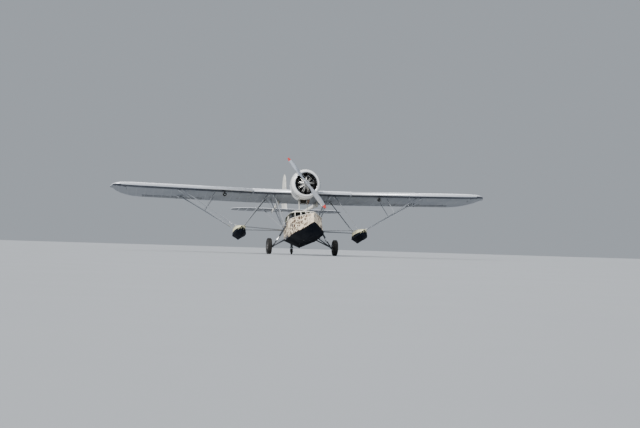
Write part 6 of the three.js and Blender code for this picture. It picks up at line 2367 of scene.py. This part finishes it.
@dataclass
class Floats:
    """The two outrigger floats."""

    sections: Rows = (
        (0.0, 0.600, 0.018, 0.640, 0.016, 0.716),
        (0.13, 0.462, 0.128, 0.556, 0.112, 0.730),
        (0.42, 0.350, 0.218, 0.484, 0.196, 0.740),
        (0.85, 0.304, 0.252, 0.452, 0.228, 0.742),
        (1.35, 0.304, 0.252, 0.452, 0.228, 0.742),
        (1.76, 0.396, 0.196, 0.510, 0.176, 0.736),
        (2.12, 0.560, 0.022, 0.618, 0.020, 0.714),
    )
    x: float = 2.55
    bow_y: float = 2.85
    length: float = 2.12
    paint_line: float = 0.15
    boot_share: float = 0.5
    boot_end: float = 0.012
    boot_proud: float = 0.002

    def section(self, y: float) -> list[float]:
        """Keel height, chine's x and z, deck edge's x and z at a station."""
        return eased(self.sections, y - self.bow_y)

    def colour(self, spot: Vector, normal: Vector) -> int:
        """Which paint a face of a float has: deck or bottom."""
        chine_z = self.section(spot.y)[2]
        return 1 if normal.z < -0.02 and spot.z < chine_z + self.paint_line else 0

    def fittings(self, side: Side) -> None:
        """Builds one float's strips, covers, cleats and bumper."""
        node, middle = f"float_{side.word}", self.x * side.value
        stations = spread(self.bow_y + 0.06, self.bow_y + self.length - 0.06, 26)
        strips, keel = Form(), Form()
        keel.tube([(middle, y, self.section(y)[0] - 0.002) for y in stations], 0.011, 8)
        for sign in (-1, 1):
            strips.tube(
                [(middle + sign * self.section(y)[3], y, self.section(y)[4]) for y in stations], 0.010, 8
            )
            keel.tube(
                [(middle + sign * self.section(y)[1], y, self.section(y)[2]) for y in stations], 0.0075, 8
            )
        keel.finish(f"float_keel_{side.word}", "hull_paint", Finish.BOTTOM, body=body_of(node))
        strips.finish(f"float_strips_{side.word}", "hull_paint", Finish.FLOAT_TOP, body=body_of(node))
        metal = Form()
        for x, y, radius in ((0.0, 3.12, 0.055), (0.0, 3.92, 0.066), (0.0, 4.66, 0.052)):
            if (found := landing(node, (middle + x, y, 1.4), DOWN)) is not None:
                cover(metal, *found, radius)
        for y in (3.24, 4.60):
            if (found := landing(node, (middle + 0.10, y, 1.4), DOWN)) is not None:
                cleat(metal, found[0], 0.05)
        for y in spread(3.05, 4.75, 12):
            for sign in (-1, 1):
                _, _, _, deck_x, deck_z = self.section(y)
                spot = Vector((middle + sign * (deck_x + 0.008), y, deck_z))
                metal.rod(spot, spot + Vector((sign * 0.005, 0, 0)), 0.0055, 0.004, sides=6)
        metal.finish(f"float_metal_{side.word}", "hull_paint", Finish.STEEL, body=body_of(node))
        bumper = Form().ball((middle, self.bow_y + 0.004, 0.672), (0.030, 0.016, 0.046), sides=20)
        bumper.finish(f"float_bumper_{side.word}", "hull_paint", Finish.LEAD, body=body_of(node))

    def boot(self, side: Side) -> None:
        """Carries the bottom's dark paint up the lower part of one float's sides, as a thin band."""
        node, middle = f"float_{side.word}", self.x * side.value
        band = Form()
        for sign in (-1, 1):
            rings = []
            for y in spread(self.bow_y + self.boot_end, self.bow_y + self.length - self.boot_end, 44):
                _, _, chine_z, _, deck_z = self.section(y)
                heights = [
                    chine_z + share * (deck_z - chine_z)
                    for share in (0.03, self.boot_share / 2, self.boot_share)
                ]
                found = [landing(node, (middle + sign * 0.6, y, z), (-sign, 0, 0)) for z in heights]
                if None not in found:
                    rings.append(
                        [p + n * self.boot_proud for p, n in found]
                        + [p - n * self.boot_proud for p, n in reversed(found)]
                    )
            band.loft(rings)
        band.finish(f"float_boot_{side.word}", "hull_paint", Finish.BOTTOM, body=body_of(node))

    def build(self) -> None:
        """Dresses the floats and adds their fittings."""
        for side in Side:
            dress(
                f"float_{side.word}", "hull_paint", Finish.FLOAT_TOP, Finish.BOTTOM, rule=self.colour,
                crease=15,
            )
            self.fittings(side)
            self.boot(side)


@dataclass
class Tail:
    """Booms, tailplane, elevator, fin and rudder."""

    ribs: Numbers = (0.30, 0.68, 1.06, 1.44, 1.82, 2.18)
    fin_ribs: Numbers = (2.62, 2.94, 3.26, 3.58, 3.84)
    boom: tuple[Point, Point] = ((0.850, 4.480, 1.945), (0.650, 8.260, 2.115))
    boom_size: tuple[float, float] = (0.062, 0.092)
    tape_wide: float = 0.034
    tape_proud: float = 0.0022
    middle_z: float = 2.22
    clear: float = 0.6

    def tapes(self) -> None:
        """Lays the rib tapes of the four tail surfaces."""
        flat = {"tailplane": spread(7.57, 8.31, 12), "elevator": spread(8.40, 8.99, 9)}
        for node, stations in flat.items():
            form = Form()
            for x in (*self.ribs, *(-x for x in self.ribs)):
                for up in (-1, 1):
                    tape(
                        form, node, [(x, y, self.middle_z + up * self.clear) for y in stations], (0, 0, -up),
                        self.tape_wide, self.tape_proud,
                    )
            form.finish(f"{node}_tapes", "silver_dope", Finish.DOPE, body=body_of(node))
        upright = {"fin": spread(7.98, 8.66, 10), "rudder": spread(8.76, 9.66, 12)}
        for node, stations in upright.items():
            form = Form()
            for z in self.fin_ribs:
                for out in (-1, 1):
                    tape(
                        form, node, [(out * self.clear, y, z) for y in stations], (-out, 0, 0),
                        self.tape_wide, self.tape_proud,
                    )
            form.finish(f"{node}_tapes", "tail_paint", Finish.IVORY_DOPE, body=body_of(node))

    def fittings(self) -> None:
        """Builds the horns, the elevator's tab, wires with their end plates, boom bands and the tail lamp."""
        for node, x in (("elevator", 0.42), ("elevator", -0.42)):
            horn = Form().box((x - 0.005, 8.395, 2.075), (x + 0.005, 8.455, 2.345), 0.002)
            horn.bolts([(x, 8.42, z) for z in (2.09, 2.33)], ACROSS, 0.022)
            horn.finish(
                f"elevator_horn_{'port' if x > 0 else 'starboard'}", "tail_paint", Finish.STEEL,
                body=body_of(node),
            )
        horn = Form().box((-0.150, 8.755, 2.595), (0.150, 8.815, 2.605), 0.002)
        horn.bolts([(x, 8.775, 2.60) for x in (-0.137, 0.137)], UP, 0.022)
        horn.finish("rudder_horn", "tail_paint", Finish.STEEL, body="rudder")
        tab = Form().box((0.28, 8.955, 2.2325), (0.86, 9.030, 2.2385), 0.002)
        tab.finish("elevator_tab", "tail_paint", Finish.IVORY, body="elevator")
        lamp = Form().ball((0.0, 9.735, 2.72), (0.018, 0.026, 0.024))
        lamp.finish("tail_lamp", "lamp_metal", Finish.WHITE_LENS, body="rudder")
        wires, plates = Form(), Form()
        for side in Side:
            for fin_end, tail_end in (
                ((0.030, 8.30, 3.28), (1.50, 7.95, 2.262)), ((0.034, 8.58, 3.28), (1.50, 8.28, 2.262))
            ):
                start, end = side.at(fin_end), side.at(tail_end)
                wires.rod(start, end, 0.0034, sides=6)
                middle = towards(start, end, 0.86)
                along = (end - start).normalized()
                wires.rod(middle - along * 0.05, middle + along * 0.05, 0.0085, sides=8)
                for spot in (start, end):
                    plates.rod(spot - along * 0.022, spot + along * 0.022, 0.011, sides=8)
            first, last = side.at(self.boom[0]), side.at(self.boom[1])
            along = (last - first).normalized()
            for share, size in ((0.04, 1.0), (0.27, 0.91), (0.5, 0.80), (0.72, 0.71), (0.94, 0.62)):
                centre = towards(first, last, share)
                across = Vector(ACROSS) - along * along.x
                up = along.cross(across.normalized())
                ring = [
                    centre + across.normalized() * math.cos(math.tau * i / 28) * self.boom_size[0] * size
                    + up * math.sin(math.tau * i / 28) * self.boom_size[1] * size
                    for i in range(28)
                ]
                plates.tube(ring, 0.006, 6, closed=True)
        wires.finish("tail_wires", "strut_paint", Finish.CHROME)
        plates.finish("tail_plates", "strut_paint", Finish.STEEL)

    def build(self) -> None:
        """Dresses the tail and adds its fittings."""
        for side in Side:
            dress(f"boom_{side.word}", "cabin_paint", Finish.IVORY, crease=45)
        # Painted shade: the lower faces of the tailplane and elevator take the darkest dope copy.
        dress("tailplane", "silver_dope", Finish.DOPE, Finish.UNDER_DOPE, rule=under_side, crease=40)
        dress("elevator", "silver_dope", Finish.DOPE, Finish.UNDER_DOPE, rule=under_side, crease=40)
        dress("fin", "tail_paint", Finish.IVORY_DOPE, crease=40)
        dress("rudder", "tail_paint", Finish.IVORY_DOPE, crease=40)
        self.tapes()
        self.fittings()


@dataclass
class Gear:
    """Main legs, oleos, wheels and the tailwheel."""

    wheel: Point = (1.376, 3.150, -0.057)
    tail_axle: Point = (0.0, 6.240, 0.1209)
    tread_rows: Numbers = (-0.043, 0.0, 0.043)
    tread_count: int = 40
    tyre: Profile = (
        (0.176, -0.064), (0.184, -0.076), (0.200, -0.088), (0.226, -0.096), (0.248, -0.0985),
        (0.262, -0.0980),
        (0.265, -0.1000), (0.270, -0.1000), (0.273, -0.0970), (0.292, -0.0910), (0.308, -0.0810),
        (0.317, -0.0700),
        (0.3205, -0.0600), (0.3215, -0.0240), (0.3180, -0.0220), (0.3180, -0.0190), (0.3215, -0.0170),
    )
    disc: Profile = (
        (0.0235, -0.084), (0.044, -0.084), (0.050, -0.060), (0.070, -0.048), (0.120, -0.038), (0.148, -0.042),
        (0.166, -0.064), (0.184, -0.070), (0.196, -0.076), (0.199, -0.070), (0.190, -0.062), (0.176, -0.054),
        (0.176, 0.054), (0.190, 0.062), (0.199, 0.070), (0.196, 0.076), (0.184, 0.070), (0.166, 0.064),
        (0.148, 0.042), (0.120, 0.038), (0.070, 0.048), (0.050, 0.058), (0.044, 0.070), (0.0235, 0.070),
    )
    oleo: tuple[Point, Point] = ((1.214, 3.150, -0.057), (0.620, 3.150, 0.900))
    leg_roots: tuple[Point, Point] = ((0.600, 2.860, 0.300), (0.600, 3.440, 0.300))

    def wheels(self, side: Side) -> None:
        """Builds one main wheel with its treaded tyre, disc and brake."""
        centre, body = side.at(self.wheel), f"wheel_{side.word}"
        half = list(self.tyre)
        profile = half + [(radius, -reach) for radius, reach in reversed(half)]
        tyre = Form().lathe([*profile, profile[0]], centre, "X", sides=64)
        for row, reach in enumerate(self.tread_rows):
            for i in range(self.tread_count):
                turn = Matrix.Rotation(math.tau * (i + 0.5 * (row % 2)) / self.tread_count, 4, "X")
                spot = Matrix.Translation(centre) @ turn
                tyre.box((reach - 0.0165, -0.019, 0.316), (reach + 0.0165, 0.019, 0.3292), 0.0, spot)
        tyre.finish(
            f"tyre_tread_{side.word}", "tyre", Finish.TYRE, body=body, crease=45,
            replaces=(f"tyre_{side.word}",),
        )
        disc = Form().lathe([*self.disc, self.disc[0]], centre, "X", sides=56)
        for i in range(8):
            spot = Matrix.Translation(centre) @ Matrix.Rotation(math.tau * i / 8, 4, "X")
            for sign in (-1, 1):
                disc.box(
                    (sign * 0.043 - 0.009, -0.007, 0.060), (sign * 0.043 + 0.009, 0.007, 0.150), 0.003, spot
                )
        out = Vector((side.value, 0, 0))
        disc.bolts([p + out * 0.046 for p in circle(centre, 0.088, "X", 16)[1::2]], out, 0.016)
        disc.rod(
            centre + out * 0.060 + Vector((0, 0, 0.158)), centre + out * 0.084 + Vector((0, 0, 0.158)), 0.005
        )
        disc.finish(
            f"wheel_disc_{side.word}", "wheel_metal", Finish.STEEL, body=body,
            replaces=(f"wheel_hub_{side.word}",)
        )
        plate = (
            (0.030, 0.093), (0.118, 0.093), (0.124, 0.098), (0.124, 0.106), (0.050, 0.112), (0.030, 0.112)
        )
        inward = [(radius, -reach * side.value) for radius, reach in plate]
        brake = Form().lathe([*inward, inward[0]], centre, "X", sides=40)
        brake.bolts([p - out * 0.108 for p in circle(centre, 0.070, "X", 8)], out, 0.014)
        foot, root = centre + Vector((-0.112 * side.value, -0.07, 0.05)), side.at(self.leg_roots[0])
        line = [foot, foot + Vector((-0.05 * side.value, -0.03, 0.03))]
        line += [
            towards(line[1], root + Vector((0.05 * side.value, -0.055, 0.02)), share)
            for share in (0.3, 0.65, 1.0)
        ]
        brake.tube(line, 0.0055, 6)
        brake.finish(f"brake_{side.word}", "gear_paint", Finish.STEEL)

    def legs(self, side: Side) -> None:
        """Builds the fittings of one leg and its oleo."""
        foot, head = (side.at(point) for point in self.oleo)
        bright = Form().rod(towards(foot, head, 0.27), towards(foot, head, 0.425), 0.0262, sides=24)
        bright.finish(f"oleo_piston_{side.word}", "gear_paint", Finish.CHROME)
        parts = Form()
        parts.rod(towards(foot, head, 0.405), towards(foot, head, 0.435), 0.042, sides=28)
        parts.rod(towards(foot, head, 0.245), towards(foot, head, 0.275), 0.031, sides=24)
        parts.rod(towards(foot, head, 0.90), towards(foot, head, 0.925), 0.041, sides=24)
        upper, lower = towards(foot, head, 0.46), towards(foot, head, 0.19)
        knee = towards(foot, head, 0.325) + Vector((0, 0.150, 0))
        for x in (-0.016, 0.016):
            shift = Vector((x, 0, 0))
            parts.rod(upper + shift + Vector((0, 0.030, 0)), knee + shift, 0.011, 0.008)
            parts.rod(lower + shift + Vector((0, 0.020, 0)), knee + shift, 0.011, 0.008)
        parts.rod(knee - Vector((0.03, 0, 0)), knee + Vector((0.03, 0, 0)), 0.012)
        for spot, reach in ((upper, 0.036), (lower, 0.026)):
            parts.rod(spot + Vector((-0.028, reach, 0)), spot + Vector((0.028, reach, 0)), 0.013)
        for root in (side.at(point) for point in self.leg_roots):
            shoe = root + Vector((0.079 * side.value, 0, 0))
            spots = [shoe + Vector((0, y, z)) for y in (-0.055, 0.055) for z in (-0.03, 0.05)]
            parts.bolts(spots, ACROSS, 0.020)
            end = side.at((1.224, 3.150, -0.057))
            parts.strut(towards(root, end, 0.145), towards(root, end, 0.235), 0.084, 0.058, sides=20)
        block = side.at((0.681, 3.150, 0.895))
        parts.bolts([block + Vector((0, y, z)) for y in (-0.064, 0.064) for z in (-0.025, 0.025)], AFT, 0.018)
        parts.finish(f"leg_fittings_{side.word}", "gear_paint", Finish.STEEL)

    def tail(self) -> None:
        """Builds the tailwheel's treaded tyre, hub and fork fittings."""
        axle = Vector(self.tail_axle)
        half = [
            (0.066, -0.030), (0.072, -0.036), (0.092, -0.0415), (0.108, -0.0405), (0.119, -0.034),
            (0.1255, -0.024),
            (0.1290, -0.016), (0.1295, -0.009), (0.1250, -0.0075), (0.1250, -0.0045), (0.1300, -0.003),
        ]
        profile = half + [(radius, -reach) for radius, reach in reversed(half)]
        tyre = Form().lathe([*profile, profile[0]], axle, "X", sides=48)
        tyre.finish(
            "tailwheel_tyre", "tyre", Finish.TYRE, body="tailwheel", crease=45, replaces=("tailwheel",)
        )
        disc = (
            (0.0115, -0.036), (0.024, -0.036), (0.028, -0.022), (0.050, -0.018), (0.060, -0.030),
            (0.070, -0.033),
            (0.070, 0.033), (0.060, 0.030), (0.050, 0.018), (0.028, 0.022), (0.024, 0.036), (0.0115, 0.036),
        )
        hub = Form().lathe([*disc, disc[0]], axle, "X", sides=36)
        for sign in (-1, 1):
            spots = [p + Vector((sign * 0.021, 0, 0)) for p in circle(axle, 0.040, "X", 6)]
            hub.bolts(spots, ACROSS, 0.009)
        hub.finish("tailwheel_hub", "wheel_metal", Finish.STEEL, body="tailwheel")
        fork = Form()
        for sign in (-1, 1):
            fork.rod(
                axle + Vector((sign * 0.060, 0, 0)), axle + Vector((sign * 0.076, 0, 0)), 0.017, 0.015,
                sides=6,
            )
        fork.finish("tail_fork_nuts", "gear_paint", Finish.STEEL, body="tail_fork")

    def build(self) -> None:
        """Dresses the undercarriage and adds its parts."""
        for side in Side:
            dress(f"gear_leg_{side.word}", "gear_paint", Finish.GEAR)
            dress(f"oleo_{side.word}", "gear_paint", Finish.GEAR)
            self.wheels(side)
            self.legs(side)
        dress("tailwheel_bracket", "gear_paint", Finish.GEAR)
        dress("tail_fork", "gear_paint", Finish.GEAR)
        self.tail()


@dataclass
class Studio:
    """Pale floor, soft light and the camera where the photograph was taken from."""

    azimuth: float = math.radians(-8.15)
    yaw: float = math.radians(-1.053)
    tilt: float = math.radians(1.527)
    roll: float = math.radians(1.694)
    distance: float = 55.0
    eye_height: float = 0.3
    lens: float = 72.16
    floor_radius: float = 260.0
    floor_tones: tuple[Colour, Colour] = ((0.34, 0.36, 0.39, 1.0), (0.38, 0.40, 0.42, 1.0))
    sky: Colour = (0.80, 0.87, 0.96, 1.0)
    sky_strength: float = 0.46
    lamps: Sequence[tuple[str, Point, float, float, Colour]] = (
        ("key", (-24.0, -20.0, 26.0), 24.0, 5.6, (1.0, 0.98, 0.95, 1.0)),
        ("fill", (22.0, -18.0, 14.0), 40.0, 0.35, (0.92, 0.96, 1.0, 1.0)),
        ("rim", (4.0, 24.0, 18.0), 30.0, 0.5, (1.0, 1.0, 1.0, 1.0)),
    )

    def camera(self) -> bpy.types.Object:
        """Sets the scene's camera.

        Returns:
            The camera.
        """
        back = Vector((math.sin(self.azimuth), -math.cos(self.azimuth), 0))
        ahead = -back
        ahead.rotate(Matrix.Rotation(self.yaw, 3, "Z"))
        right = ahead.cross(Vector(UP)).normalized()
        ahead.rotate(Matrix.Rotation(self.tilt, 3, right))
        up = right.cross(ahead)
        turned_right = right * math.cos(self.roll) + up * math.sin(self.roll)
        turned_up = up * math.cos(self.roll) - right * math.sin(self.roll)
        data = bpy.data.cameras.new("view")
        data.lens = self.lens
        data.sensor_width = 36.0
        data.clip_start = 0.1
        data.clip_end = 1000.0
        camera = bpy.data.objects.new("view", data)
        place = Matrix((turned_right, turned_up, -ahead)).transposed().to_4x4()
        place.translation = back * self.distance + Vector((0, 0, self.eye_height))
        camera.matrix_world = place
        bpy.context.scene.collection.objects.link(camera)
        bpy.context.scene.camera = camera
        return camera

    def floor(self) -> bpy.types.Object:
        """Lays the pale floor.

        Returns:
            The floor.
        """
        bm = bmesh.new()
        bmesh.ops.create_circle(bm, cap_ends=True, radius=self.floor_radius, segments=64)
        mesh = bpy.data.meshes.new("floor")
        bm.to_mesh(mesh)
        bm.free()
        floor = bpy.data.objects.new("floor", mesh)
        bpy.context.scene.collection.objects.link(floor)
        surface = Surface.start("studio floor", Specular_IOR_Level=0.2)
        graph = surface.graph
        grain = graph.noise(surface.spot, 0.8, 4.0)
        surface.feed("Base Color", graph.mix(grain, *self.floor_tones))
        surface.feed("Roughness", graph.between(grain, 0.3, 0.7, 0.6, 0.75))
        mesh.materials.append(surface.material)
        return floor

    @staticmethod
    def light(
        name: str, source: Point, spread_angle: float, power: float, colour: Colour
    ) -> bpy.types.Object:
        """Adds a far, soft lamp that lights the floor and the airframe evenly.

        Args:
            name: The lamp's name.
            source: The direction that its light comes from.
            spread_angle: How wide the lamp looks from the airframe, in degrees.
            power: Its strength.
            colour: Its colour.

        Returns:
            The lamp.
        """
        data = bpy.data.lights.new(name, "SUN")
        data.angle = math.radians(spread_angle)
        data.energy = power
        data.color = colour[:3]
        lamp = bpy.data.objects.new(name, data)
        lamp.location = source
        lamp.rotation_euler = (-Vector(source)).to_track_quat("-Z", "Y").to_euler()
        bpy.context.scene.collection.objects.link(lamp)
        return lamp

    def build(self) -> None:
        """Sets up the floor, lights, surroundings and camera."""
        self.camera()
        self.floor()
        world = bpy.data.worlds.new("studio")
        bpy.context.scene.world = world
        world.use_nodes = True
        backdrop = world.node_tree.nodes["Background"]
        backdrop.inputs["Color"].default_value = self.sky
        backdrop.inputs["Strength"].default_value = self.sky_strength
        for lamp in self.lamps:
            self.light(*lamp)


def main() -> None:
    """Builds the studio and every sub-assembly in order."""
    logging.basicConfig(level=logging.INFO, format="%(name)s: %(message)s")
    for part in (Studio(), Hull(), Cabin(), Powerplant(), Wing(), Bracing(), Floats(), Tail(), Gear()):
        part.build()
        LOG.info("%s is built", type(part).__name__)


if __name__ == "__main__":
    main()
